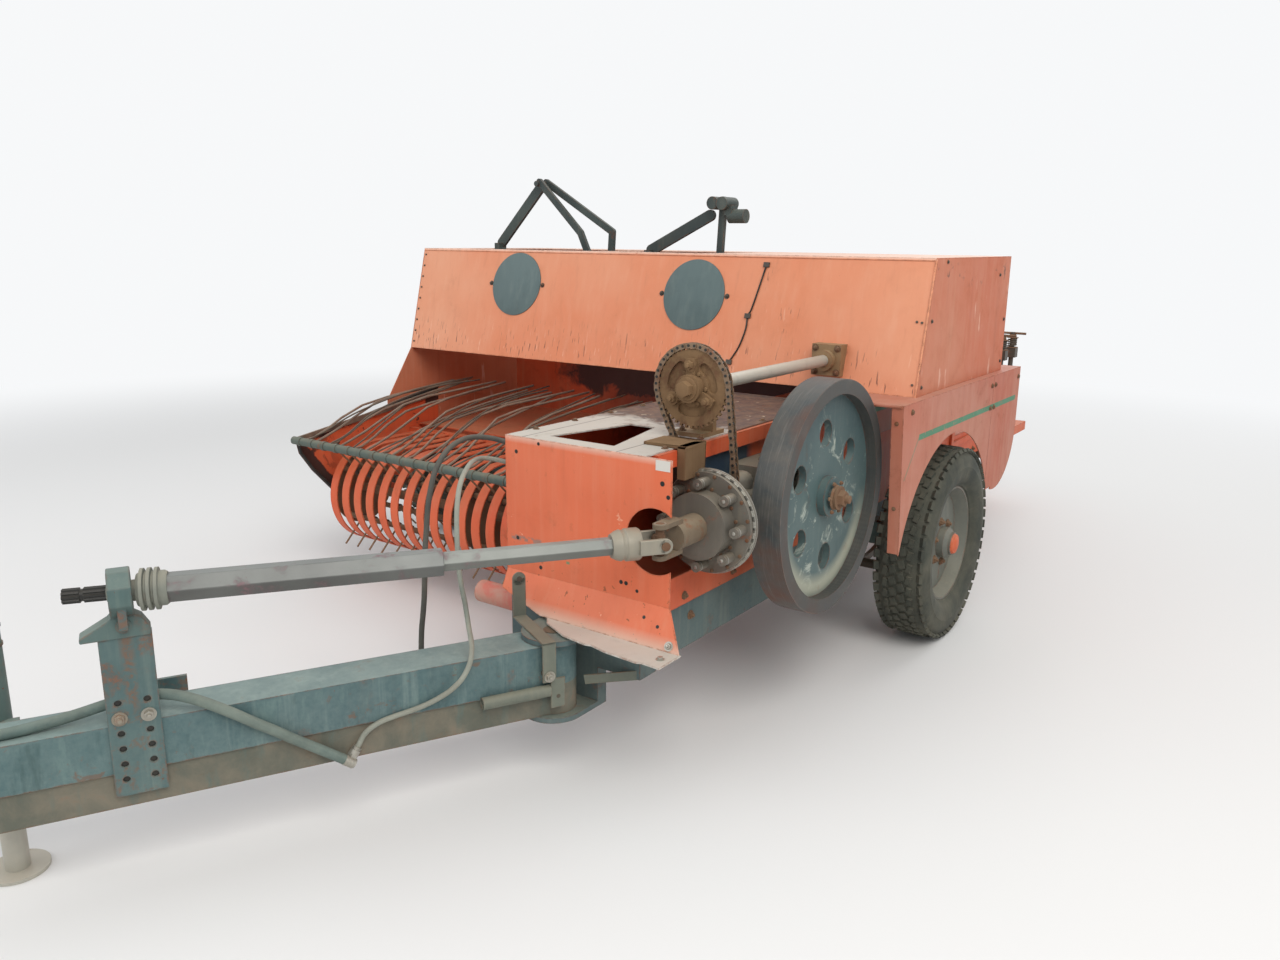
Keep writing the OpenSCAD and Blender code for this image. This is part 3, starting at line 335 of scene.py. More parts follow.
def green_stripe(s, colour):
    """The stripe along the fender, and the thin line that turns down at its front end."""
    x, _, z = s.place()
    band = s.times(between(s, x, -0.672, 0.478), between(s, z, 0.853, 0.874))
    slope = s.plus(s.times(s.minus(x, 0.478), 0.7477), s.times(s.minus(z, 0.863), 0.664))
    line = s.times(between(s, slope, -0.004, 0.004), between(s, z, 0.735, 0.866))
    mark = s.times(s.most(band, s.times(line, 0.6)), s.span(s.fine, 0.66, 0.58))
    return s.stain(colour, mark, 0.9, 52, 128, 98)


def flywheel_zones(s, colour):
    """Dark bare rim, scuffed web, and pale dust where the web meets the rim."""
    x, _, z = s.place(at(FLYWHEEL[0], 0, FLYWHEEL[1]))
    r = s.away(x, z)
    scuff = s.times(s.spots(0.56, 0.66, 11, 5, 0.68, 1.2), s.spots(0.42, 0.58, 2.6, 2))
    colour = s.stain(colour, scuff, 0.7, 190, 196, 182)
    hollow = s.times(between(s, r, 0.262, 0.32, 0.02), s.span(z, -0.02, -0.2))
    colour = s.stain(colour, hollow, 0.65, 186, 184, 162)
    rim = s.span(r, 0.3175, 0.319)
    bare = s.mix(s.span(s.mid, 0.36, 0.68), srgb(72, 76, 76), srgb(96, 92, 86))
    brown = s.times(s.spots(0.46, 0.6, 3.0, 4, 0.6), s.span(x, -0.05, 0.22))
    bare = s.mix(brown, bare, srgb(98, 70, 58))
    grooves = s.noise(60, 4, 0.7, 0.0, s.stretch((0.15, 3.0, 0.15)))
    bare = s.mix(s.span(grooves, 0.52, 0.78, 0, 0.5), bare, srgb(128, 124, 118))
    bare = s.stain(bare, s.span(r, 0.3615, 0.36), 0.5, 52, 52, 50)
    keep = s.minus(1.0, s.times(rim, 0.6))
    s.spoiled = s.times(s.spoiled, keep)
    return s.mix(rim, colour, bare)


def drawbar_zones(s, colour):
    """Streaks down the teal side of the upper tube, and the brown, muddy lower tube."""
    z = s.axis("Z")
    streak = s.noise(1.0, 5, 0.62, 0.0, s.stretch((22, 22, 5.0)))
    side = between(s, z, 0.288, 0.404, 0.003)
    colour = s.mix(s.times(side, s.span(streak, 0.54, 0.7, 0, 0.5)), colour, srgb(118, 140, 134))
    colour = s.mix(s.times(side, s.span(streak, 0.44, 0.32, 0, 0.45)), colour, srgb(46, 70, 70))
    worn = s.times(s.spots(0.6, 0.66, 17, 6, 0.72, 0.8), s.span(z, 0.404, 0.398))
    colour = s.stain(colour, worn, 0.7, 112, 88, 72)
    lower = s.span(z, 0.292, 0.288)
    mud = s.mix(s.span(s.mid, 0.38, 0.66), srgb(96, 94, 80), srgb(128, 116, 98))
    mud = s.stain(mud, s.span(streak, 0.55, 0.68), 0.5, 84, 106, 100)
    return s.mix(s.times(lower, 0.85), colour, mud)


def middle_streak(s, colour):
    """Rust down the middle of the shaft's bracket, between its rows of holes, and round the holes."""
    row = DRAWBAR.inverted()[0]
    x, y = s.times(s.axis("X"), row[0]), s.times(s.axis("Y"), row[1])
    along = s.plus(s.plus(x, y), row[3])
    z = s.axis("Z")
    spots = s.spots(0.44, 0.56, 38, 5, 0.7, 0.8)
    streak = s.times(between(s, along, 1.048, 1.07, 0.007), s.span(z, 0.42, 0.47))
    holes = s.times(between(s, z, 0.215, 0.49, 0.01), s.spots(0.54, 0.6, 30, 4, 0.7))
    rust = s.most(streak, s.times(holes, 0.7))
    return s.stain(colour, s.times(rust, spots), 0.8, 116, 88, 70)


def pink_stub(s, colour):
    """The stub tube on the right of the frame, which keeps its faded red paint."""
    x, y, _ = s.place()
    where = s.times(s.span(y, -0.24, -0.246), s.span(x, 1.4, 1.42))
    red = s.mix(s.span(s.mid, 0.4, 0.62), srgb(196, 112, 96), srgb(186, 152, 134))
    return s.mix(where, colour, red)


def black_edges(s, colour):
    """Bare black steel along the rims of the pickup's end plates, with patches at the front corner."""
    x, y, z = s.place()
    plates = s.most(s.span(y, -1.904, -1.91), s.span(y, -0.313, -0.307))
    rough = s.times(s.minus(s.mid, 0.5), 0.06)
    slope = s.plus(z, s.times(x, 0.18683))
    top = s.plus(s.minus(slope, 0.64 + 1.125 * 0.18683), rough)
    front = s.plus(s.minus(s.times(x, 0.766), s.times(z, 0.643)), rough)
    dark = s.most(s.span(top, -0.022, -0.018), s.span(front, 0.425, 0.431))
    corner = s.times(s.span(x, 0.9, 1.05), s.spots(0.5, 0.55, 9, 5, 0.7, 0.6))
    gusset = s.times(s.span(x, 0.385, 0.375), s.span(top, -0.085, -0.08))
    spots = s.times(s.spots(0.66, 0.68, 24, 3, 0.6), s.span(top, -0.16, -0.12))
    dark = s.most(dark, s.most(corner, s.most(gusset, spots)))
    return s.stain(colour, s.times(dark, plates), 0.94, 44, 42, 40)


def dark_opening(s, colour):
    """Soot and painted shadow round the feed opening on the rear wall of the feed channel, and painted shade
    over the feed table's floor.
    """
    x, y, z = s.place()
    rough = s.times(s.minus(s.mid, 0.5), 0.5)
    where = s.times(between(s, x, -0.2985, -0.29), s.span(s.plus(y, rough), -1.62, -1.5))
    where = s.times(where, s.span(s.plus(z, s.times(rough, 0.4)), 0.735, 0.765))
    # Painted shade: the feed table's floor darkens towards the rear and towards the chamber
    floor = s.times(s.span(x, 0.12, -0.2), s.span(y, -1.45, -1.1, 0, 0.6))
    dark = s.most(s.times(where, 0.93), floor)
    return s.mix(dark, colour, srgb(50, 42, 42))


def blue_side(s, colour):
    """The dark blue stretch of the hood's left wall, behind the chain."""
    x, y, z = s.place()
    where = s.times(between(s, x, 1.02, 1.42, 0.02), s.span(y, 0.228, 0.232))
    low = s.plus(z, s.times(s.minus(s.mid, 0.5), 0.3))
    where = s.times(where, s.times(s.span(z, 0.8955, 0.8945), s.span(low, 0.6, 0.63)))
    blue = s.mix(s.span(s.mid, 0.4, 0.62), srgb(48, 64, 80), srgb(66, 80, 88))
    blue = s.mix(s.spots(0.58, 0.66, 14, 5, 0.7), blue, srgb(104, 88, 72))
    return s.mix(where, colour, blue)


def dirty_rear(s, colour):
    """Old chaff and oil on the rear of the hood's cover, and black seams at its front."""
    x, y, _ = s.place()
    rough = s.times(s.minus(s.mid, 0.5), 0.5)
    dirt = s.span(s.plus(x, rough), 1.2, 1.12)
    shade = s.mix(s.spots(0.4, 0.62, 26, 5, 0.7, 0.8), srgb(58, 46, 48), srgb(106, 84, 68))
    shade = s.mix(s.spots(0.66, 0.7, 19, 3, 0.6), shade, srgb(184, 172, 150))
    colour = s.mix(s.times(dirt, 0.92), colour, shade)
    seam = s.most(between(s, y, -0.188, -0.184), between(s, y, 0.15, 0.154))
    return s.stain(colour, seam, 0.8, 60, 48, 44)


def brown_rods(s, colour):
    """The guard's tube keeps its paint, its bent rods are brown, with a painted highlight on their upper
    sides.
    """
    x, _, z = s.place(at(GUARD[0], 0, GUARD[1]))
    rods = s.times(s.span(s.away(x, z), 0.019, 0.022), s.span(s.plus(x, z), 0.02, -0.04))
    brown = s.mix(s.span(s.mid, 0.38, 0.62), srgb(88, 72, 62), srgb(128, 108, 92))
    # Painted highlight: the rods' upper sides are lighter
    brown = s.stain(brown, s.span(s.facing_up(), 0.3, 0.9), 0.55, 166, 150, 132)
    return s.mix(rods, colour, brown)


def rubber(name, base, dust, dust_amount, rough=0.85):
    """Dusty rubber with mud in its hollows."""
    s = Shader(bpy.data.materials.new(name))
    mid = s.noise(11, 6, 0.65)
    fine = s.noise(160, 6, 0.7)
    colour = s.mix(s.span(mid, 0.3, 0.75), srgb(*base), srgb(*[c * 1.35 for c in base]))
    colour = s.mix(s.times(s.spots(0.38, 0.72, 5, 6, 0.7, 0.5), dust_amount), colour, srgb(*dust))
    up = s.span(s.facing_up(), 0.2, 0.95, 0, 0.55 * dust_amount)
    colour = s.mix(up, colour, srgb(*dust))
    s.put(s.bsdf.inputs["Base Color"], colour)
    s.bsdf.inputs["Roughness"].default_value = rough
    height = s.plus(fine, s.times(s.noise(24, 3, 0.6), 0.8))
    s.put(s.bsdf.inputs["Normal"], s.bump(height, 0.3, 0.001))
    return s.mat


# Mesh building blocks

def finish_mesh(bm, name, finish, body="chassis", smooth=True, bevel=0.0):
    """Turns a bmesh into a piece that rides on a body, with one of the finishes."""
    bmesh.ops.remove_doubles(bm, verts=bm.verts, dist=1e-5)
    bmesh.ops.recalc_face_normals(bm, faces=bm.faces)
    me = bpy.data.meshes.new(name)
    bm.to_mesh(me)
    bm.free()
    for p in me.polygons:
        p.use_smooth = smooth
    ob = bpy.data.objects.new(name, me)
    bpy.context.scene.collection.objects.link(ob)
    me.materials.append(FINISH[finish])
    if smooth:
        me.set_sharp_from_angle(angle=math.radians(35))
    if bevel:
        m = ob.modifiers.new("edges", "BEVEL")
        m.width = bevel
        m.segments = 2
        m.limit_method = "ANGLE"
        m.angle_limit = math.radians(40)
    if body:
        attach(ob, body)
    return ob


def middle_of(node):
    """The middle of a node's box."""
    lo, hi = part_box(node)
    return (Vector(lo) + Vector(hi)) / 2


def aim(direction, where=(0, 0, 0)):
    """A matrix that turns +Z to a direction and moves it to a point."""
    turn = Vector(direction).normalized().to_track_quat("Z", "Y").to_matrix().to_4x4()
    return Matrix.Translation(where) @ turn


def add_round(bm, where, direction, radius, depth, sides=24, radius2=None, bevel=0.0):
    """A disc, cone or post standing on where, along direction."""
    m = aim(direction, where) @ Matrix.Translation((0, 0, depth / 2))
    r = bmesh.ops.create_cone(bm, cap_ends=True, segments=sides, radius1=radius,
                              radius2=radius if radius2 is None else radius2, depth=depth, matrix=m)
    if bevel:
        far = Vector(where) + Vector(direction).normalized() * depth
        n = Vector(direction).normalized()
        edges = {e for v in r["verts"] for e in v.link_edges
                 if all(abs((w.co - far).dot(n)) < 1e-5 for w in e.verts)}
        bmesh.ops.bevel(bm, geom=list(edges), offset=bevel, offset_type="OFFSET", segments=2,
                        profile=0.5, affect="EDGES", material=-1)
    return r["verts"]


def add_bolt(bm, where, direction, size=0.01, washer=True, nut=True):
    """A hexagon head on its washer. size is half the distance over corners."""
    n = Vector(direction).normalized()
    if washer:
        add_round(bm, Vector(where) - n * 0.0002, n, size * 1.45, size * 0.25, 20)
    add_round(bm, Vector(where), n, size, size * 0.95, 6, bevel=size * 0.12)
    if nut:
        add_round(bm, Vector(where), n, size * 0.52, size * 1.5, 10, bevel=size * 0.1)


def add_block(bm, lo, hi, turn=None):
    """A box between two corners, turned about the point they are given from."""
    size = [abs(b - a) for a, b in zip(lo, hi)]
    m = Matrix.Translation((Vector(lo) + Vector(hi)) / 2) @ Matrix.Diagonal((*size, 1))
    if turn is not None:
        m = turn @ m
    return bmesh.ops.create_cube(bm, size=1, matrix=m)["verts"]


def ring(count, radius, start=0.0):
    """Even steps round a circle, as pairs of distances from its middle."""
    turns = [start + 2 * math.pi * k / count for k in range(count)]
    return [(radius * math.cos(a), radius * math.sin(a)) for a in turns]


def add_prism(bm, outline, rise):
    """A solid raised from a flat outline along a vector."""
    foot = bm.faces.new([bm.verts.new(p) for p in outline])
    raised = bmesh.ops.extrude_face_region(bm, geom=[foot], use_keep_orig=True)["geom"]
    bmesh.ops.translate(bm, vec=rise, verts=[v for v in raised if isinstance(v, bmesh.types.BMVert)])


def spin_profile(bm, points, m, steps=96):
    """Turns an outline of (radius, along) pairs about a matrix's Z. Few steps give flat sides."""
    vs = [bm.verts.new(m @ Vector((r, 0, along))) for r, along in points]
    es = [bm.edges.new((vs[k - 1], vs[k])) for k in range(len(vs))]
    bmesh.ops.spin(bm, geom=vs + es, cent=m.translation, axis=m.to_3x3() @ UP, angle=2 * math.pi,
                   steps=steps, use_merge=True)


def add_band(bm, inner, outer, lo, hi, m, steps=96):
    """A ring or tube round a matrix's Z, from lo to hi along it."""
    spin_profile(bm, [(inner, lo), (outer, lo), (outer, hi), (inner, hi)], m, steps)


def swept(name, lines, radius, finish, body="chassis", round_steps=2, smooth=True):
    """Round bars along lines of points, made from curves and closed at their ends."""
    data = bpy.data.curves.new(name, "CURVE")
    data.dimensions = "3D"
    data.bevel_depth = radius
    data.bevel_resolution = round_steps
    data.fill_mode = "FULL"
    data.use_fill_caps = True
    for line in lines:
        spline = data.splines.new("POLY")
        spline.points.add(len(line) - 1)
        for p, q in zip(spline.points, line):
            p.co = (*q, 1)
    draft = bpy.data.objects.new(name, data)
    bpy.context.scene.collection.objects.link(draft)
    bpy.context.view_layer.update()
    made = bpy.data.meshes.new_from_object(draft.evaluated_get(bpy.context.evaluated_depsgraph_get()))
    bpy.data.objects.remove(draft)
    bm = bmesh.new()
    bm.from_mesh(made)
    bpy.data.meshes.remove(made)
    return finish_mesh(bm, name, finish, body, smooth)


def rounded(points, steps=4):
    """A smooth line through the given points."""
    p = [Vector(q) for q in points]
    p = [2 * p[0] - p[1]] + p + [2 * p[-1] - p[-2]]
    out = []
    for i in range(1, len(p) - 2):
        for k in range(steps):
            t = k / steps
            a, b, c, d = p[i - 1:i + 3]
            out.append(0.5 * (2 * b + (c - a) * t + (2 * a - 5 * b + 4 * c - d) * t * t
                              + (3 * b - a - 3 * c + d) * t ** 3))
    out.append(p[-2])
    return out


def coil(start, axis, radius, pitch, turns, steps=12):
    """Points of a spring that starts at a point and winds along an axis."""
    m = aim(axis, start)
    circle = ring(steps, radius)
    return [m @ Vector((*circle[k % steps], pitch * k / steps)) for k in range(int(turns * steps) + 1)]


# Finishes

# Old paint and bare metal: the material's name, its base, faded and dust colour, how much dust and how much
# rust it has, and the rest of weathered()'s values
WEATHERED = {
    # Painted light and dust: the housing's front and roof get a paler copy of the orange paint, as they lean
    # back and face the sky
    "housing": ("faded_housing_paint", (214, 130, 92), (218, 150, 116), (226, 176, 148), 0.28, 0.08,
                dict(wear=0.006, rough=0.5, blotch=0.12, runs=0.2, overlay=short_scratches)),
    # Painted shade and dust: the housing's ends get a darker copy of the orange paint, as they face away
    # from the light
    "end": ("dusty_end_paint", (192, 102, 68), (194, 120, 90), (200, 150, 124), 0.32, 0.12,
            dict(wear=0.007, rough=0.55, blotch=0.2, runs=0.3, overlay=end_marks)),
    "plate": ("front_plate_paint", (214, 104, 68), (218, 122, 88), (218, 154, 124), 0.24, 0.14,
              dict(wear=0.006, rough=0.5, blotch=0.14, runs=0.22, overlay=plate_marks)),
    "orange": ("shaded_orange_paint", (204, 80, 42), (206, 98, 60), (190, 140, 110), 0.34, 0.22,
               dict(wear=0.006, rough=0.55, blotch=0.28)),
    # Painted shade: the feed channel gets a darker copy of the orange paint, as it lies inside in shade
    "feed": ("feed_channel_paint", (200, 78, 42), (202, 96, 60), (180, 140, 108), 0.4, 0.3,
             dict(rough=0.6, blotch=0.3, overlay=dark_opening)),
    # Painted shade: the hood's side gets a darker copy of the orange paint, as it lies inside in shade
    "hood": ("hood_side_paint", (202, 80, 44), (204, 98, 62), (186, 138, 110), 0.34, 0.25,
             dict(wear=0.006, rough=0.55, overlay=blue_side)),
    # Painted shade: the fenders get a darker copy of the orange paint, as they face away from the light
    "fender": ("fender_orange_paint", (178, 92, 66), (182, 114, 92), (190, 152, 132), 0.4, 0.24,
               dict(wear=0.006, rough=0.55, blotch=0.22, runs=0.3, overlay=green_stripe)),
    "pickup": ("pickup_orange_paint", (212, 76, 38), (216, 96, 58), (186, 136, 104), 0.25, 0.22,
               dict(wear=0.006, rough=0.5, overlay=black_edges)),
    "blue_grey": ("blue_grey_paint", (60, 84, 86), (78, 100, 98), (148, 156, 142), 0.4, 0.28,
                  dict(wear=0.005, rough=0.6, runs=0.35)),
    "bracket": ("bracket_blue_grey_paint", (50, 76, 80), (70, 96, 98), (146, 156, 144), 0.36, 0.4,
                dict(wear=0.006, rough=0.6, runs=0.3, overlay=middle_streak)),
    "frame": ("frame_blue_grey_paint", (56, 80, 88), (76, 98, 100), (148, 150, 134), 0.42, 0.35,
              dict(wear=0.005, rough=0.6, overlay=pink_stub)),
    "drawbar": ("drawbar_teal_paint", (42, 74, 82), (56, 88, 92), (162, 176, 168), 0.44, 0.24,
                dict(wear=0.006, rough=0.6, blotch=0.28, runs=0.3, overlay=drawbar_zones)),
    "web": ("flywheel_paint", (60, 76, 80), (76, 96, 96), (150, 158, 146), 0.16, 0.22,
            dict(wear=0.006, rough=0.5, runs=0.08, overlay=flywheel_zones)),
    "tan": ("dusty_tan_paint", (126, 98, 68), (148, 120, 88), (172, 148, 114), 0.5, 0.4,
            dict(wear=0.004, grain=0.8)),
    "pale": ("worn_pale_sheet", (188, 184, 176), (204, 200, 192), (196, 184, 166), 0.35, 0.32,
             dict(wear=0.008, rough=0.5)),
    "cover": ("dirty_pale_sheet", (190, 186, 178), (206, 202, 194), (198, 188, 170), 0.3, 0.38,
              dict(wear=0.008, rough=0.5, overlay=dirty_rear)),
    "casting": ("dusty_casting", (116, 112, 102), (134, 128, 116), (160, 148, 126), 0.55, 0.35,
                dict(wear=0.004)),
    "pipe": ("grey_green_pipe", (88, 96, 88), (104, 110, 100), (148, 144, 124), 0.4, 0.35,
             dict(wear=0.004)),
    "arms": ("dark_arm_paint", (42, 50, 52), (60, 72, 70), (128, 128, 114), 0.3, 0.3,
             dict(wear=0.005)),
    # Also used as painted shade for the dark insides of holes on the latch
    "dark": ("oily_dark_steel", (58, 54, 50), (78, 70, 62), (132, 116, 94), 0.42, 0.5,
             dict(rough=0.5)),
    # Also used as painted shade for the dark insides of holes
    "black": ("greasy_black_steel", (30, 31, 31), (42, 42, 40), (96, 88, 76), 0.2, 0.12,
              dict(rough=0.35)),
    "mud": ("muddy_steel", (104, 80, 56), (128, 100, 70), (152, 122, 88), 0.5, 0.6,
            dict(rust=(74, 52, 38), rough=0.85, grain=0.8, blotch=0.5)),
    "rust": ("rusty_steel", (98, 70, 52), (120, 90, 68), (150, 128, 102), 0.4, 0.6,
             dict(rough=0.8, grain=1.4)),
    "chain": ("oily_chain_steel", (112, 92, 74), (134, 112, 90), (152, 128, 98), 0.4, 0.55,
              dict(wear=0.002, rough=0.5, metal=0.4)),
    "bright": ("worn_steel", (178, 176, 168), (150, 146, 136), (160, 148, 126), 0.3, 0.25,
               dict(rough=0.35, metal=0.8)),
    "tube": ("dusty_pale_tube", (168, 168, 158), (182, 178, 166), (190, 180, 162), 0.45, 0.28,
             dict(rough=0.45, metal=0.2)),
    "clutch": ("clutch_steel", (108, 104, 96), (126, 120, 110), (156, 142, 120), 0.4, 0.45,
               dict(rough=0.5, metal=0.4)),
    "guard": ("faded_green_grey_paint", (58, 74, 70), (78, 90, 84), (138, 134, 114), 0.4, 0.4,
              dict(wear=0.004, overlay=brown_rods)),
    "outer_shaft": ("dark_shaft_steel", (74, 74, 74), (96, 96, 92), (144, 148, 142), 0.48, 0.6,
                    dict(rust=(88, 68, 70), rough=0.45, metal=0.3, runs=0.0)),
    "shaft": ("dusty_shaft_steel", (94, 96, 92), (114, 114, 108), (156, 160, 152), 0.55, 0.5,
              dict(rust=(92, 72, 74), rough=0.45, metal=0.3, runs=0.0)),
    "yoke": ("dusty_yoke_steel", (134, 130, 118), (150, 144, 130), (166, 154, 132), 0.5, 0.35,
             dict(rough=0.5, metal=0.2)),
    "joint": ("brown_joint_yoke", (104, 90, 74), (122, 106, 86), (154, 138, 114), 0.5, 0.5,
              dict(rough=0.6)),
    "collar": ("grey_rubber_collar", (104, 110, 104), (126, 128, 118), (160, 154, 136), 0.5, 0.2,
               dict(rough=0.6)),
    # Painted shade and dust: the rims get a darker grey, as they sit in shadow
    "rim": ("faded_grey_rim_paint", (84, 90, 84), (106, 108, 102), (146, 140, 122), 0.42, 0.42,
            dict(wear=0.005)),
    "disc": ("grey_disc_paint", (86, 102, 102), (96, 112, 112), (130, 140, 134), 0.2, 0.08,
             dict(rough=0.6, dents=0.4)),
    "label": ("bare_pale_label", (206, 202, 194), (196, 190, 182), (190, 168, 146), 0.25, 0.1,
              dict(rough=0.4, dents=0.0)),
}
# Rubber: the material's name, its base and dust colour, how much dust
RUBBER = {
    "tyre": ("dusty_tyre_rubber", (44, 47, 41), (126, 120, 102), 0.42),
    "hose": ("dark_hose_rubber", (56, 57, 54), (128, 120, 104), 0.4),
    "hose_pale": ("pale_dusty_hose", (112, 116, 108), (162, 156, 138), 0.5),
    "hose_sheath": ("teal_sheathed_hose", (72, 86, 82), (146, 152, 138), 0.5),
}


def make_finishes(settings):
    """Every finish by its short name, with the base colours that the settings hold."""
    made = {}
    for key, (name, base, faded, dust, dust_amount, rust_amount, rest) in WEATHERED.items():
        if hasattr(settings, "paint_" + key):
            base = [255 * c for c in getattr(settings, "paint_" + key)]
        made[key] = weathered(name, base, faded, dust, dust_amount, rust_amount, **rest)
    for key, row in RUBBER.items():
        made[key] = rubber(*row)
    return made


FINISH = {}
# The carried-over nodes that each finish is for
NODE_FINISH = {
    "housing": "housing_front housing_top",
    "end": "housing_left_end housing_right_end",
    "plate": "front_plate",
    "orange": "chamber_shell housing_rear twine_box twine_box_lid bale_chute",
    "feed": "feed_table",
    "hood": "chamber_hood",
    "fender": "fender_front fender_rear",
    "pickup": "pickup_frame",
    "blue_grey": "axle_beam jack_tube",
    "bracket": "pto_bracket",
    "frame": "frame_rails",
    "drawbar": "drawbar",
    "web": "flywheel",
    "pale": "front_tray",
    "cover": "hood_cover",
    "tan": "sprocket_bracket shaft_bearing",
    "casting": "gearbox hitch",
    "pipe": "latch_tube",
    "joint": "joint_yoke",
    "arms": "feeder_arms",
    "dark": "plunger knotter_stack tension_rails pivot_pin needle_yoke",
    "mud": "drive_pinion feeder_sprocket feeder_chain",
    "rust": "pickup_reel",
    "shaft": "pto_inner pto_outer",
    "tube": "feeder_shaft jack_leg",
    "clutch": "clutch",
    "bright": "hose_fittings",
    "guard": "wind_guard",
    "rim": "rim_left rim_right",
    "tyre": "tyre_left tyre_right",
    "hose": "hose_dark",
    "hose_pale": "hose_pale",
    "hose_sheath": "hose_sheathed",
}


class BALER_OT_finishes(bpy.types.Operator):
    """Paints the carried-over nodes with their finishes"""
    bl_idname = "baler.finishes"
    bl_label = "Finishes"

    def execute(self, context):
        FINISH.update(make_finishes(context.scene.baler))
        for key, names in NODE_FINISH.items():
            for n in names.split():
                if n in NODES:
                    node = NODES[n]
                    if not node.material_slots:
                        node.data.materials.append(FINISH[key])
                    for slot in node.material_slots:
                        slot.material = FINISH[key]
        return {"FINISHED"}


# The camera fitted to the photograph: its place, its angles, and its focal length in the photo's pixels
CAMERA_PLACE = (3.7072, 1.7174, 1.5)
CAMERA_TURN, CAMERA_TILT, CAMERA_ROLL = (math.radians(a) for a in (35.1947, 13.5473, 0.6268))
FOCAL_PIXELS, PHOTO_WIDTH = 998.12, 1280
SENSOR = 36
# What the camera sees behind the floor, and what the floor fades into
HAZE = (0.93, 0.94, 0.95, 1)


class BALER_OT_stage(bpy.types.Operator):
    """Sets the camera, the floor and soft studio light"""
    bl_idname = "baler.stage"
    bl_label = "Stage"

    def execute(self, context):
        scene = context.scene
        flat = Vector((-math.cos(CAMERA_TURN), -math.sin(CAMERA_TURN), 0))
        side = Vector((flat.y, -flat.x, 0))
        ahead = flat * math.cos(CAMERA_TILT) - UP * math.sin(CAMERA_TILT)
        above = UP * math.cos(CAMERA_TILT) + flat * math.sin(CAMERA_TILT)
        right = side * math.cos(CAMERA_ROLL) + above * math.sin(CAMERA_ROLL)
        up = above * math.cos(CAMERA_ROLL) - side * math.sin(CAMERA_ROLL)
        cam_data = bpy.data.cameras.new("camera")
        cam_data.sensor_width = SENSOR
        cam_data.lens = SENSOR * FOCAL_PIXELS / PHOTO_WIDTH
        cam_data.clip_end = 200
        cam = bpy.data.objects.new("camera", cam_data)
        m = Matrix((right, up, -ahead)).transposed().to_4x4()
        m.translation = at(*CAMERA_PLACE)
        cam.matrix_world = m
        scene.collection.objects.link(cam)
        scene.camera = cam

        bm = bmesh.new()
        bmesh.ops.create_grid(bm, x_segments=1, y_segments=1, size=60)
        me = bpy.data.meshes.new("floor")
        bm.to_mesh(me)
        bm.free()
        floor = bpy.data.objects.new("floor", me)
        floor.location = (0, 0, -0.0005)
        scene.collection.objects.link(floor)
        s = Shader(bpy.data.materials.new("pale_floor"))
        s.put(s.bsdf.inputs["Base Color"], (0.8, 0.79, 0.77, 1))
        s.bsdf.inputs["Roughness"].default_value = 0.9
        away = s.add("ShaderNodeVectorMath", operation="LENGTH")
        s.put(away.inputs[0], s.coord)
        fade = s.add("ShaderNodeMapRange", interpolation_type="SMOOTHSTEP", clamp=True,
                     Value=away.outputs["Value"], From_Min=4.2, From_Max=8.5).outputs["Result"]
        glow = s.add("ShaderNodeEmission", Color=HAZE)
        seen = s.blend(s.times(s.in_view(), fade), s.bsdf, glow)
        s.put(s.nt.nodes["Material Output"].inputs["Surface"], seen)
        me.materials.append(s.mat)

        world = bpy.data.worlds.new("studio")
        scene.world = world
        w = Shader(world)
        sky = w.nt.nodes["Background"]
        w.put_all(sky.inputs, (0.93, 0.96, 1.0, 1), 0.62)
        haze = w.add("ShaderNodeBackground", Color=HAZE)
        w.put(w.nt.nodes["World Output"].inputs["Surface"], w.blend(w.in_view(), sky, haze))
        for name, where, size, power, tint in (
            ("key_lamp", (4.5, 5.5, 6.5), 5.0, 420, (1.0, 0.98, 0.95)),
            ("fill_lamp", (6.5, -3.5, 4.5), 6.0, 160, (0.95, 0.97, 1.0)),
            ("back_lamp", (-6.0, 1.0, 6.0), 6.0, 160, (1.0, 1.0, 1.0)),
        ):
            data = bpy.data.lights.new(name, "AREA")
            data.size = size
            data.energy = power
            data.color = tint
            lamp = bpy.data.objects.new(name, data)
            lamp.location = where
            lamp.rotation_euler = (Vector((0.5, 0, 0.6)) - Vector(where)).to_track_quat("-Z", "Y").to_euler()
            scene.collection.objects.link(lamp)
        scene.view_settings.view_transform = "Standard"
        return {"FINISHED"}


PANEL_OUT = Vector((PANEL_RISE, 0, PANEL_RUN)).normalized()
DISCS = ((-1.317, 1.303), (-0.392, 1.293))


def panel_point(y, z, off=0.0):
    """A point on the leaning front panel of the housing, raised off by some metres."""
    return at(0.441 - PANEL_RUN * (z - 0.99) / PANEL_RISE, y, z) + PANEL_OUT * off


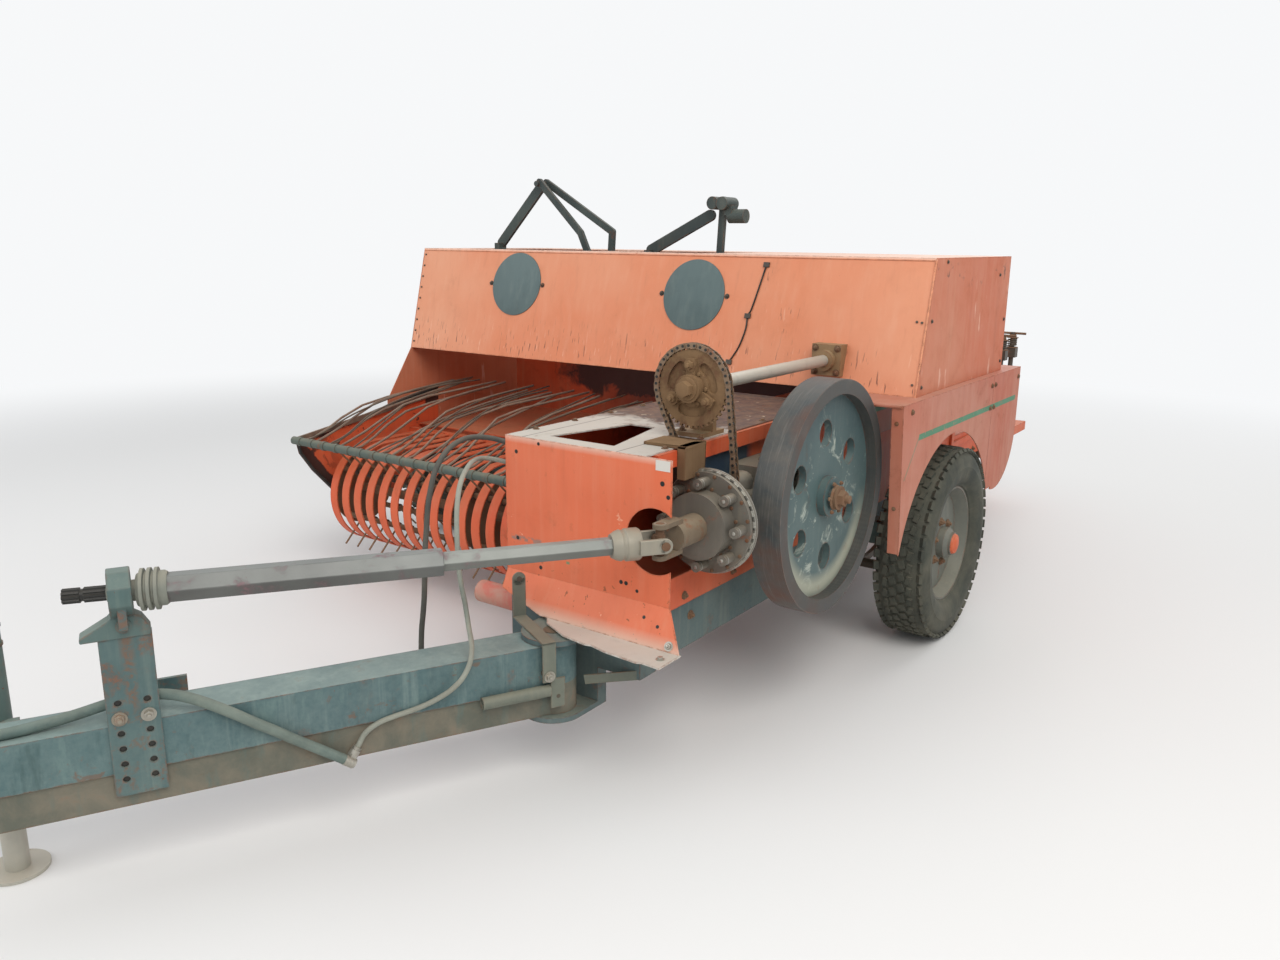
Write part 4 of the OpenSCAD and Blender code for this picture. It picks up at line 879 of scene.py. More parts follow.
class BALER_OT_discs(bpy.types.Operator):
    """Two plain grey discs and their bolts on the front of the housing"""
    bl_idname = "baler.discs"
    bl_label = "Plain discs"

    def execute(self, context):
        r = context.scene.baler.disc_radius
        bm = bmesh.new()
        for y, z in DISCS:
            add_round(bm, panel_point(y, z, 0.0003), PANEL_OUT, r, 0.004, 72, bevel=0.0012)
            add_round(bm, panel_point(y, z, 0.0041), PANEL_OUT, r - 0.01, 0.0006, 72, bevel=0.0003)
        finish_mesh(bm, "front_discs", "disc")
        bm = bmesh.new()
        for y, z in DISCS:
            for side in (-1, 1):
                add_bolt(bm, panel_point(y + side * (r + 0.012), z, 0.0005), PANEL_OUT, 0.007)
        edge_bolts = [(-1.914, 1.02 + 0.05 * k) for k in range(9)]
        edge_bolts += [(0.53, 1.03), (0.53, 1.236), (0.512, 1.238)]
        for y, z in edge_bolts:
            add_bolt(bm, panel_point(y, z, 0.0004), PANEL_OUT, 0.0045, washer=False, nut=False)
        finish_mesh(bm, "front_bolts", "dark")
        fold = [panel_point(0.546, 0.985, 0.0015), panel_point(0.546, 1.444, 0.0015)]
        swept("housing_fold", [fold], 0.0042, "housing")
        return {"FINISHED"}


def tread_block(bm, centre, angle, where, turn, size, narrow=(0.86, 0.86)):
    """One block of tread at an angle round the axle, with a top that is narrower than its foot."""
    vs = bmesh.ops.create_cube(bm, size=1, matrix=Matrix.Identity(4))["verts"]
    for v in vs:
        along, across = narrow if v.co.z > 0 else (1.0, 1.0)
        v.co = Vector((v.co.x * size[0] * along, v.co.y * size[1] * across, v.co.z * size[2]))
    m = turned(centre, angle, "Y") @ Matrix.Translation(where) @ turn
    bmesh.ops.transform(bm, matrix=m, verts=vs)


class BALER_OT_tyres(bpy.types.Operator):
    """Road tyres with rounded walls and a block tread"""
    bl_idname = "baler.tyres"
    bl_label = "Tyres"

    def execute(self, context):
        n = context.scene.baler.tread_blocks
        half = [(0.222, 0.066), (0.226, 0.074), (0.236, 0.078), (0.24, 0.084), (0.262, 0.0935),
                (0.285, 0.0985), (0.3, 0.0995), (0.302, 0.098), (0.322, 0.0965), (0.34, 0.091),
                (0.352, 0.083), (0.3605, 0.072), (0.364, 0.056), (0.3655, 0.03)]
        inner = [(0.226, 0.058), (0.262, 0.08), (0.3, 0.088), (0.335, 0.078), (0.352, 0.05)]
        outline = ([(r, -a) for r, a in half] + [(0.366, 0.0)] + [(r, a) for r, a in reversed(half)]
                   + inner + [(0.355, 0.0)] + [(r, -a) for r, a in reversed(inner)])
        for side_name in ("left", "right"):
            node = "tyre_" + side_name
            c = middle_of(node)
            bm = bmesh.new()
            spin_profile(bm, outline, aim(LEFT, c), 120)
            step = 2 * math.pi / n
            for k in range(n):
                a = k * step
                for side, middle, flank, wall in ((-1, 0.0, 0.25, 0.0), (1, 0.5, 0.75, 0.5)):
                    tread_block(bm, c, a + step * middle, (0, side * 0.0165, 0.368),
                                Matrix.Rotation(0.35, 4, "Z"), (0.036, 0.024, 0.0104))
                    tread_block(bm, c, a + step * flank, (0, side * 0.044, 0.3672),
                                Matrix.Rotation(-0.22, 4, "Z"), (0.034, 0.021, 0.0108))
                    tread_block(bm, c, a + step * wall, (0, side * 0.076, 0.356),
                                Matrix.Rotation(side * 0.62, 4, "X"), (0.033, 0.034, 0.0135), (0.9, 1.0))
            ob = finish_mesh(bm, "road_" + node, "tyre", "wheel_" + side_name)
            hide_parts(node)
        return {"FINISHED"}


class BALER_OT_wheel_trim(bpy.types.Operator):
    """Hub caps, wheel bolts and valves on both rims"""
    bl_idname = "baler.wheel_trim"
    bl_label = "Wheel trim"

    def execute(self, context):
        for side_name, side in (("left", 1), ("right", -1)):
            body = "wheel_" + side_name
            mid = middle_of("rim_" + side_name)
            mid.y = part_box("tyre_" + side_name)[0].y + 0.1
            out = LEFT * side
            bm = bmesh.new()
            add_round(bm, mid + out * 0.0828, out, 0.04, 0.01, 40, 0.036, bevel=0.002)
            add_round(bm, mid + out * 0.0925, out, 0.03, 0.006, 32, 0.016, bevel=0.001)
            finish_mesh(bm, "hub_cap_" + side_name, "orange", body)
            bm = bmesh.new()
            for u, v in ring(6, 0.085, 0.3):
                add_bolt(bm, mid + Vector((u, 0, v)) + out * 0.0325, out, 0.012)
            valve = mid + Vector((0.178, side * 0.018, 0.02))
            add_round(bm, valve, out, 0.0045, 0.034, 12, bevel=0.001)
            finish_mesh(bm, "wheel_bolts_" + side_name, "rust", body)
        return {"FINISHED"}


def chain_points(pitch):
    """Even steps of about a pitch round the two sprockets, as points (y, z), and the pitch they have."""
    c1, r1 = Vector(CLUTCH), 0.0555
    c2, r2 = Vector(FEEDER), 0.1195
    d = c2 - c1
    base = math.atan2(d.y, d.x)
    lean = math.acos((r1 - r2) / d.length)
    path = []
    for c, r, start, sweep, count in ((c2, r2, base + lean, -2 * lean, 48),
                                      (c1, r1, base - lean, 2 * lean - 2 * math.pi, 24)):
        for k in range(count + 1):
            a = start + sweep * k / count
            path.append(c + r * Vector((math.cos(a), math.sin(a))))
    path.append(path[0])
    steps = [(path[i + 1] - path[i]).length for i in range(len(path) - 1)]
    total = sum(steps)
    n = 2 * round(total / pitch / 2)
    out = []
    for k in range(n):
        s = total * k / n
        i = 0
        while s > steps[i]:
            s -= steps[i]
            i += 1
        t = path[i + 1] - path[i]
        out.append(path[i] + t * s / steps[i])
    return out, total / n


class BALER_OT_chain(bpy.types.Operator):
    """Roller chain from the input shaft to the feeder shaft"""
    bl_idname = "baler.chain"
    bl_label = "Roller chain"

    def execute(self, context):
        points, pitch = chain_points(context.scene.baler.chain_pitch)
        bm = bmesh.new()
        rollers = bmesh.new()
        for k, p in enumerate(points):
            q = points[(k + 1) % len(points)]
            mid, d = (p + q) / 2, q - p
            turn = math.atan2(d.y, d.x)
            x = CHAIN_PLANE
            for side in (-1, 1):
                off = 0.0062 if k % 2 else 0.0088
                vs = bmesh.ops.create_cube(bm, size=1, matrix=Matrix.Identity(4))["verts"]
                for v in vs:
                    v.co = Vector((v.co.x * 0.0022, v.co.y * (pitch + 0.013), v.co.z * 0.016))
                ends = {e for v in vs for e in v.link_edges
                        if abs(e.verts[0].co.x - e.verts[1].co.x) > 0.0015}
                new = bmesh.ops.bevel(bm, geom=list(ends), offset=0.0066, offset_type="OFFSET", segments=2,
                                      profile=0.5, affect="EDGES", material=-1)
                every = set(new["verts"]) | {v for v in vs if v.is_valid}
                m = turned(at(x + side * off, mid.x, mid.y), turn, "X")
                bmesh.ops.transform(bm, matrix=m, verts=list(every))
            add_round(rollers, at(x - 0.005, p.x, p.y), FORE, 0.0064, 0.01, 10)
            add_round(rollers, at(x - 0.0114, p.x, p.y), FORE, 0.0042, 0.0228, 8)
        ob = finish_mesh(bm, "roller_chain", "chain")
        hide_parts("feeder_chain")
        finish_mesh(rollers, "chain_rollers", "black")
        return {"FINISHED"}


class BALER_OT_flywheel_trim(bpy.types.Operator):
    """Hub cover, nut and web bolts of the flywheel"""
    bl_idname = "baler.flywheel_trim"
    bl_label = "Flywheel trim"

    def execute(self, context):
        c = at(FLYWHEEL[0], 0.495, FLYWHEEL[1])
        bm = bmesh.new()
        add_round(bm, c, LEFT, 0.04, 0.01, 40, 0.034, bevel=0.002)
        add_bolt(bm, c + Vector((0, 0.0102, 0)), LEFT, 0.026)
        for u, v in ring(6, 0.05, 0.1):
            add_bolt(bm, c + Vector((u, 0.0003, v)), LEFT, 0.0065, washer=False)
        finish_mesh(bm, "flywheel_hub_bolts", "rust", "flywheel")
        return {"FINISHED"}


class BALER_OT_clutch_trim(bpy.types.Operator):
    """Springs, bolts, rivets and notched rims of the slip clutch"""
    bl_idname = "baler.clutch_trim"
    bl_label = "Clutch trim"

    def execute(self, context):
        c = at(0, *CLUTCH)
        bm, heads = bmesh.new(), bmesh.new()
        for u, v in ring(8, 0.118):
            p = c + Vector((CLUTCH_FACE, u, v))
            for turn in range(4):
                add_round(bm, p + FORE * (0.003 + turn * 0.0072), FORE, 0.014, 0.005, 20, bevel=0.002)
            add_bolt(heads, p + FORE * 0.032, FORE, 0.0105)
        finish_mesh(bm, "clutch_springs", "casting", "clutch")
        finish_mesh(heads, "clutch_bolts", "bright", "clutch")
        bm = bmesh.new()
        for r in (0.137, 0.1):
            for u, v in ring(16, r, math.pi / 16):
                p = c + Vector((CLUTCH_FACE + 0.0002, u, v))
                add_round(bm, p, FORE, 0.0055, 0.0035, 12, bevel=0.001)
        finish_mesh(bm, "clutch_rivets", "rust", "clutch")
        bm = bmesh.new()
        for k in range(30):
            m = turned(c, k * math.pi / 15, "X")
            add_block(bm, (1.3982, -0.0085, 0.13), (1.4038, 0.0085, 0.148), m)
        for x in (1.386, 1.3978):
            add_band(bm, 0.1425, 0.1506, -0.0006, 0.0008, aim(FORE, c + FORE * x))
        finish_mesh(bm, "clutch_tabs", "bright", "clutch", smooth=False, bevel=0.0008)
        return {"FINISHED"}


# Hoses: the routes of their middle lines, in metres from the same point as at()
DARK_HOSE = [
    (1.53, -0.2383, 0.9), (1.53, -0.278, 0.9), (1.54, -0.317, 0.907), (1.567, -0.345, 0.917),
    (1.604, -0.357, 0.924), (1.644, -0.356, 0.928), (1.683, -0.349, 0.927), (1.722, -0.34, 0.921),
    (1.759, -0.332, 0.908), (1.792, -0.324, 0.887), (1.819, -0.318, 0.858), (1.838, -0.313, 0.823),
    (1.852, -0.31, 0.785), (1.861, -0.308, 0.746), (1.868, -0.306, 0.707), (1.875, -0.305, 0.667),
    (1.88, -0.303, 0.627), (1.885, -0.301, 0.587), (1.889, -0.3, 0.547), (1.893, -0.3, 0.507),
    (1.898, -0.301, 0.467), (1.903, -0.303, 0.427), (1.905, -0.305, 0.387), (1.909, -0.303, 0.347),
    (1.917, -0.295, 0.309), (1.931, -0.275, 0.278), (1.9542, -0.2353, 0.256), (1.9677, -0.2094, 0.256),
]
PALE_HOSE = [
    (1.56, -0.2383, 0.85), (1.56, -0.278, 0.85), (1.581, -0.312, 0.858), (1.618, -0.322, 0.867),
    (1.655, -0.311, 0.872), (1.691, -0.292, 0.875), (1.725, -0.272, 0.875), (1.759, -0.25, 0.872),
    (1.792, -0.228, 0.867), (1.824, -0.207, 0.857), (1.854, -0.187, 0.839), (1.877, -0.171, 0.811),
    (1.891, -0.161, 0.775), (1.898, -0.155, 0.736), (1.901, -0.152, 0.696), (1.901, -0.15, 0.656),
    (1.899, -0.149, 0.616), (1.895, -0.146, 0.576), (1.889, -0.143, 0.536), (1.889, -0.136, 0.497),
    (1.904, -0.114, 0.467), (1.927, -0.085, 0.453), (1.953, -0.058, 0.438), (1.977, -0.044, 0.411),
    (1.999, -0.05, 0.378), (2.02, -0.07, 0.349), (2.044, -0.093, 0.328), (2.074, -0.115, 0.313),
    (2.107, -0.135, 0.304), (2.142, -0.154, 0.298), (2.177, -0.172, 0.289), (2.208, -0.188, 0.269),
    (2.227, -0.198, 0.236),
]
SHEATHED_HOSE = [
    (2.263, -0.208, 0.212), (2.298, -0.227, 0.241), (2.334, -0.245, 0.27), (2.37, -0.263, 0.299),
    (2.405, -0.282, 0.329), (2.441, -0.3, 0.358), (2.476, -0.318, 0.388), (2.511, -0.339, 0.416),
    (2.545, -0.366, 0.44), (2.578, -0.4, 0.456), (2.611, -0.436, 0.46), (2.648, -0.469, 0.456),
    (2.688, -0.496, 0.447), (2.731, -0.52, 0.437), (2.775, -0.542, 0.429), (2.82, -0.561, 0.425),
    (2.866, -0.58, 0.423), (2.91, -0.603, 0.423), (2.953, -0.628, 0.423),
]


class BALER_OT_hoses(bpy.types.Operator):
    """Three hoses from the hood and along the drawbar, and the crimps on their ends"""
    bl_idname = "baler.hoses"
    bl_label = "Hoses"

    def execute(self, context):
        for name, route, radius, finish, slot, body, end in (
            ("dark", DARK_HOSE, 0.008, "hose", "hose_rubber", None, "object"),
            ("pale", PALE_HOSE, 0.007, "hose_pale", "hose_pale", None, "fitting"),
            ("sheathed", SHEATHED_HOSE, 0.013, "hose_sheath", "hose_teal", "drawbar", "fitting"),
        ):
            path = rounded([at(*p) for p in route], 5)
            ob = swept(name + "_hose", [path], radius, finish, body, round_steps=4)
            if body is None:
                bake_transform(ob)
            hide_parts("hose_" + name)
        end, before = at(*SHEATHED_HOSE[-1]), at(*SHEATHED_HOSE[-2])
        bm = bmesh.new()
        on = (end - before).normalized()
        for k in range(5):
            add_round(bm, end + on * (0.003 + 0.0072 * k), on, 0.0142, 0.0036, 24, bevel=0.0008)
        add_round(bm, end + on * 0.0402, on, 0.0148, 0.014, 6, bevel=0.001)
        start = at(*SHEATHED_HOSE[0])
        back = (start - at(*SHEATHED_HOSE[1])).normalized()
        for k in range(4):
            add_round(bm, start + back * (0.002 + 0.0072 * k), back, 0.014, 0.0036, 24, bevel=0.0008)
        low = at(*PALE_HOSE[-1])
        down = (low - at(*PALE_HOSE[-2])).normalized()
        add_round(bm, low + down * 0.02, down, 0.0145, 0.01, 6, bevel=0.001)
        for k in range(3):
            add_round(bm, low + down * (0.0005 + 0.0025 * k), down, 0.0118, 0.0014, 20)
        finish_mesh(bm, "hose_crimps", "bright", "drawbar")
        return {"FINISHED"}


class BALER_OT_drive_shaft(bpy.types.Operator):
    """The telescopic drive shaft: six-sided tubes, ribbed collars, yoke and splined stub"""
    bl_idname = "baler.drive_shaft"
    bl_label = "Drive shaft"

    def execute(self, context):
        m = along_shaft()
        flat_sides = m @ Matrix.Rotation(math.pi / 2, 4, "Z")
        long = SHAFT_LENGTH
        d = (m.to_3x3() @ UP).normalized()
        level = (m.to_3x3() @ LEFT).normalized()
        bm = bmesh.new()
        add_band(bm, 0.0308, 0.0355, 0.56, long - 0.09, flat_sides, 6)
        tube = finish_mesh(bm, "drive_shaft_tube", "outer_shaft", "shaft_front", smooth=False, bevel=0.0025)
        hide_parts("pto_outer")
        bm = bmesh.new()
        ribs = [(0.024, long - 0.1), (0.036, long - 0.1), (0.04, long - 0.094), (0.04, long - 0.086)]
        for k in range(3):
            a = long - 0.083 + 0.015 * k
            ribs += [(0.04, a), (0.048, a + 0.002), (0.048, a + 0.009), (0.04, a + 0.011)]
        ribs += [(0.036, long - 0.036), (0.024, long - 0.036)]
        spin_profile(bm, ribs, m, 48)
        add_round(bm, JOINT + d * (long - 0.044), d, 0.024, 0.068, 40, bevel=0.002)
        ball = [(0.02, -0.011), (0.0363, -0.011), (0.0379, 0.0), (0.0363, 0.011), (0.02, 0.011)]
        spin_profile(bm, [(r, long + along) for r, along in ball], m, 48)
        finish_mesh(bm, "drive_shaft_collar", "collar", "shaft_front")
        bm = bmesh.new()
        teeth = 10
        outline = []
        for k in range(teeth):
            for part, r in ((0.0, 0.0148), (0.22, 0.0174), (0.62, 0.0174), (0.84, 0.0148)):
                a = 2 * math.pi * (k + part) / teeth
                outline.append(Vector((r * math.cos(a), r * math.sin(a), 0)))
        for z0, z1 in ((0.024, 0.07), (0.078, 0.113)):
            add_prism(bm, [m @ (p + UP * (long + z0)) for p in outline], d * (z1 - z0))
        add_round(bm, JOINT + d * (long + 0.068), d, 0.014, 0.012, 32)
        finish_mesh(bm, "splined_stub", "black", "shaft_front")
        bm = bmesh.new()
        add_band(bm, 0.018, 0.0248, 0.128, 0.585, flat_sides, 6)
        add_band(bm, 0.018, 0.0222, 0.584, 0.69, flat_sides, 6)
        bar = finish_mesh(bm, "drive_shaft_bar", "shaft", "shaft_rear", smooth=False, bevel=0.002)
        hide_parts("pto_inner")
        bm = bmesh.new()
        bell = [(0.022, 0.058), (0.04, 0.058), (0.043, 0.063), (0.043, 0.096), (0.0395, 0.1),
                (0.0395, 0.106), (0.0415, 0.11), (0.038, 0.122), (0.031, 0.134), (0.022, 0.134)]
        spin_profile(bm, bell, m, 48)
        finish_mesh(bm, "drive_shaft_rear_collar", "yoke", "shaft_rear")
        bm = bmesh.new()
        for side in (-1, 1):
            add_block(bm, (-0.02, side * 0.042 - 0.006, 0.0), (0.02, side * 0.042 + 0.006, 0.068), m)
            add_round(bm, JOINT + level * (side * 0.042 - 0.006), level, 0.0202, 0.012, 40)
        finish_mesh(bm, "drive_shaft_yoke", "yoke", "shaft_rear", bevel=0.002)
        bm = bmesh.new()
        for side in (-1, 1):
            add_round(bm, JOINT + level * side * 0.0475, level * side, 0.012, 0.003, 28, bevel=0.0006)
            add_round(bm, JOINT + level * side * 0.02, level * side, 0.012, 0.03, 28)
            add_round(bm, JOINT + UP * side * 0.018, UP * side, 0.0119, 0.0315, 28, bevel=0.0006)
        add_round(bm, JOINT - level * 0.02, level, 0.0145, 0.04, 28)
        add_round(bm, JOINT - UP * 0.019, UP, 0.014, 0.038, 28)
        finish_mesh(bm, "joint_cross", "rust", "shaft_rear")
        bm = bmesh.new()
        for side in (-1, 1):
            add_band(bm, 0.0122, 0.0165, side * 0.048, side * 0.0495, aim(UP, JOINT), 32)
        finish_mesh(bm, "yoke_rings", "yoke", "shaft_rear")
        return {"FINISHED"}


class BALER_OT_bracket_trim(bpy.types.Operator):
    """Bearing block, gusset, nuts and holes of the shaft's bracket on the drawbar"""
    bl_idname = "baler.bracket_trim"
    bl_label = "Bracket trim"

    def execute(self, context):
        left = DRAWBAR_LEFT
        bm = bmesh.new()
        add_bolt(bm, on_drawbar(1.09, 0.0722, 0.428), left, 0.0115)
        for s in (1.03, 1.09):
            add_bolt(bm, on_drawbar(s, -0.0752, 0.428), -left, 0.0115)
        finish_mesh(bm, "bracket_nuts", "casting", "drawbar")
        bm = bmesh.new()
        add_bolt(bm, on_drawbar(1.03, 0.0722, 0.428), left, 0.0115)
        finish_mesh(bm, "bracket_bright_nut", "bright", "drawbar")
        bm = bmesh.new()
        # Painted shade: thin black discs stand for the dark insides of the bracket's holes
        for z in (0.466, 0.39, 0.352, 0.314, 0.276):
            for s in (1.03, 1.09):
                add_round(bm, on_drawbar(s, 0.0653, z), left, 0.00795, 0.0012, 24)
        finish_mesh(bm, "bracket_holes", "black", "drawbar")
        # Bearing block with cut corners, and the gusset that carries it on the bracket
        along = (DRAWBAR.to_3x3() @ FORE).normalized()
        m = aim(along, BEARING) @ Matrix.Rotation(math.pi / 8, 4, "Z")
        bm = bmesh.new()
        add_band(bm, 0.0386, 0.055, -0.024, 0.024, m, 8)
        add_block(bm, (1.036, 0.026, 0.672), (1.084, 0.082, 0.6895), DRAWBAR)
        finish_mesh(bm, "bearing_block", "blue_grey", "drawbar", smooth=False, bevel=0.003)
        bm = bmesh.new()
        outline = [(1.006, 0.6202), (1.15, 0.6202), (1.15, 0.632), (1.092, 0.664), (1.08, 0.676),
                   (1.04, 0.676), (1.022, 0.664), (1.006, 0.636)]
        add_prism(bm, [on_drawbar(s, 0.03, z) for s, z in outline], left * 0.046)
        finish_mesh(bm, "bearing_gusset", "blue_grey", "drawbar", smooth=False, bevel=0.003)
        bm = bmesh.new()
        add_bolt(bm, on_drawbar(1.06, 0.0762, 0.65), left, 0.0115, nut=False)
        finish_mesh(bm, "gusset_bolt", "blue_grey", "drawbar")
        bm = bmesh.new()
        # Painted shade: a thin black sheet stands for the dark inside of the bearing block's hole
        add_block(bm, (1.054, 0.0818, 0.6765), (1.066, 0.0824, 0.6865), DRAWBAR)
        finish_mesh(bm, "block_hole", "black", "drawbar", smooth=False)
        return {"FINISHED"}


class BALER_OT_drawbar_trim(bpy.types.Operator):
    """Latch strap, hanger plate and brace at the drawbar's pivot, welds and the jack's handle"""
    bl_idname = "baler.drawbar_trim"
    bl_label = "Drawbar trim"

    def execute(self, context):
        left = DRAWBAR_LEFT
        bm = bmesh.new()
        add_block(bm, (0.031, -0.136, 0.4275), (0.07, -0.13, 0.545), DRAWBAR)
        add_round(bm, on_drawbar(0.0505, -0.136, 0.545), left, 0.0195, 0.006, 36)
        add_block(bm, (0.031, -0.136, 0.4275), (0.07, 0.097, 0.4325), DRAWBAR)
        add_block(bm, (0.031, 0.091, 0.318), (0.07, 0.097, 0.4325), DRAWBAR)
        add_block(bm, (0.002, 0.0835, 0.235), (0.0435, 0.0895, 0.3215), DRAWBAR)
        finish_mesh(bm, "latch_strap", "pipe", "drawbar", smooth=False, bevel=0.0015)
        bm = bmesh.new()
        add_round(bm, on_drawbar(0.0505, 0.065, 0.334), left, 0.013, 0.0262, 24)
        add_round(bm, on_drawbar(0.02, 0.06, 0.3), left, 0.009, 0.024, 20)
        # Painted shade: the thin dark discs on the hanger plate and the strap stand for the dark insides of
        # holes
        add_round(bm, on_drawbar(0.0505, -0.1362, 0.545), -left, 0.008, 0.0004, 20)
        add_round(bm, on_drawbar(0.0505, -0.1298, 0.545), left, 0.008, 0.0004, 20)
        add_round(bm, on_drawbar(0.022, 0.0896, 0.268), left, 0.006, 0.0004, 20)
        finish_mesh(bm, "latch_pins", "dark", "drawbar")
        bm = bmesh.new()
        add_bolt(bm, on_drawbar(0.0505, 0.0971, 0.334), left, 0.011)
        finish_mesh(bm, "latch_bolts", "bright", "drawbar")
        # Flat brace from the pivot's lower plate to the frame's corner
        bm = bmesh.new()
        a, b = at(1.664, 0.092, 0.292), at(1.592, 0.236, 0.318)
        add_block(bm, (-0.003, -0.014, 0.0), (0.003, 0.014, (b - a).length), aim(b - a, a))
        finish_mesh(bm, "front_brace", "pipe", smooth=False, bevel=0.001)
        # Weld beads between the upper and the lower tube
        lines = []
        for side in (-1, 1):
            lines.append([on_drawbar(0.11 + 0.012 * k, side * (0.0578 + 0.0006 * (k % 2)), 0.2888)
                          for k in range(110)])
        swept("drawbar_welds", lines, 0.0032, "drawbar", "drawbar", round_steps=1)
        # Grip and nut of the jack's crank, and rings round the jack's tube
        jack = on_drawbar(1.35, -0.125, 0)
        tip = on_drawbar(1.47, -0.125, 0.715)
        bm = bmesh.new()
        add_round(bm, tip, UP, 0.0085, 0.07, 20, bevel=0.002)
        add_bolt(bm, Vector((jack.x, jack.y, 0.7252)), UP, 0.011)
        for z in (0.58, 0.625, 0.678):
            add_band(bm, 0.0342, 0.0368, -0.003, 0.003, aim(UP, (jack.x, jack.y, z)), 40)
        finish_mesh(bm, "jack_crank", "dark", "drawbar")
        return {"FINISHED"}


class BALER_OT_front_trim(bpy.types.Operator):
    """Label, holes, bolts, chain bracket and wire of the front plate, the hood and the housing"""
    bl_idname = "baler.front_trim"
    bl_label = "Front trim"

    def execute(self, context):
        bm = bmesh.new()
        add_block(bm, at(PLATE_FACE, 0.284, 0.914), at(PLATE_FACE + 0.0006, 0.33, 0.942))
        finish_mesh(bm, "blank_label", "label", smooth=False)
        bm = bmesh.new()
        # Painted shade: thin black discs stand for the dark insides of the holes in the front plate and the
        # apron
        for y, z, r in ((0.306, 0.88, 0.007), (0.325, 0.846, 0.006), (-0.12, 0.933, 0.005),
                        (0.174, 0.582, 0.006), (0.191, 0.582, 0.006), (0.228, 0.567, 0.005),
                        (-0.117, 0.565, 0.006), (-0.205, 0.9, 0.006), (-0.205, 0.64, 0.006)):
            add_round(bm, at(PLATE_FACE, y, z), FORE, r, 0.0004, 20)
        slope = Vector((0.102, 0, 0.048)).normalized()
        for y, z, r in ((-0.184, 0.507, 0.006), (0.264, 0.505, 0.005), (0.313, 0.491, 0.005)):
            x = PLATE_FACE + 0.048 * (0.54 - z) / 0.102
            add_round(bm, at(x, y, z), slope, r, 0.0005, 20)
        finish_mesh(bm, "plate_holes", "black")
        bm = bmesh.new()
        add_bolt(bm, at(1.645, 0.362, 0.453), slope, 0.009)
        add_bolt(bm, at(1.7, 0.372, 0.4381), UP, 0.008, nut=False)
        finish_mesh(bm, "apron_bolt", "bright")
        bm = bmesh.new()
        for k in range(6):
            for y in (-0.232, 0.232):
                add_bolt(bm, at(0.56 + 0.185 * k, y, 0.9452), UP, 0.007, nut=False)
        for x in (1.2, 1.28):
            add_bolt(bm, at(x, 0.155, 0.9572), UP, 0.009)
        for u, v in ((-1, -1), (-1, 1), (1, -1), (1, 1)):
            add_bolt(bm, at(0.4562, *FEEDER) + Vector((0, 0.042 * u, 0.042 * v)), FORE, 0.0085)
        finish_mesh(bm, "hood_bolts", "rust")
        bm = bmesh.new()
        hub = at(1.3352, *FEEDER)
        add_round(bm, hub + FORE * 0.025, FORE, 0.033, 0.004, 36, bevel=0.001)
        add_bolt(bm, hub + FORE * 0.029, FORE, 0.024, washer=False, nut=False)
        for u, v in ring(6, 0.047):
            add_bolt(bm, hub + Vector((0, u, v)), FORE, 0.0065, False, False)
        add_round(bm, hub - FORE * 0.012, FORE, 0.093, 0.0024, 64)
        for k, (u, v) in enumerate(ring(3, 0.066, math.pi / 2)):
            m = turned(hub, 2 * math.pi * k / 3, "X")
            add_block(bm, (0.0, -0.015, 0.038), (0.011, 0.015, 0.084), m)
            add_bolt(bm, hub + Vector((0.0108, u, v)), FORE, 0.0135)
        finish_mesh(bm, "sprocket_nut", "mud")
        bm = bmesh.new()
        add_block(bm, at(1.366, 0.15, 0.9453), at(1.47, 0.29, 0.954))
        add_block(bm, at(1.366, 0.2622, 0.86), at(1.47, 0.29, 0.954))
        finish_mesh(bm, "chain_bracket", "mud", smooth=False, bevel=0.002)
        # Thin control wire down the housing's front panel, with its clips
        wire = [(-0.092, 1.413), (-0.108, 1.336), (-0.127, 1.251), (-0.139, 1.225), (-0.139, 1.178),
                (-0.157, 1.11), (-0.19, 1.052)]
        swept("panel_wire", [rounded([panel_point(y, z, 0.0034) for y, z in wire], 5)], 0.0032, "black")
        bm = bmesh.new()
        for y, z in (wire[0], wire[3], wire[-1]):
            m = aim(PANEL_OUT, panel_point(y, z))
            add_block(bm, (-0.012, -0.009, 0.0001), (0.012, 0.009, 0.0078), m)
        finish_mesh(bm, "wire_clips", "dark", smooth=False, bevel=0.001)
        return {"FINISHED"}


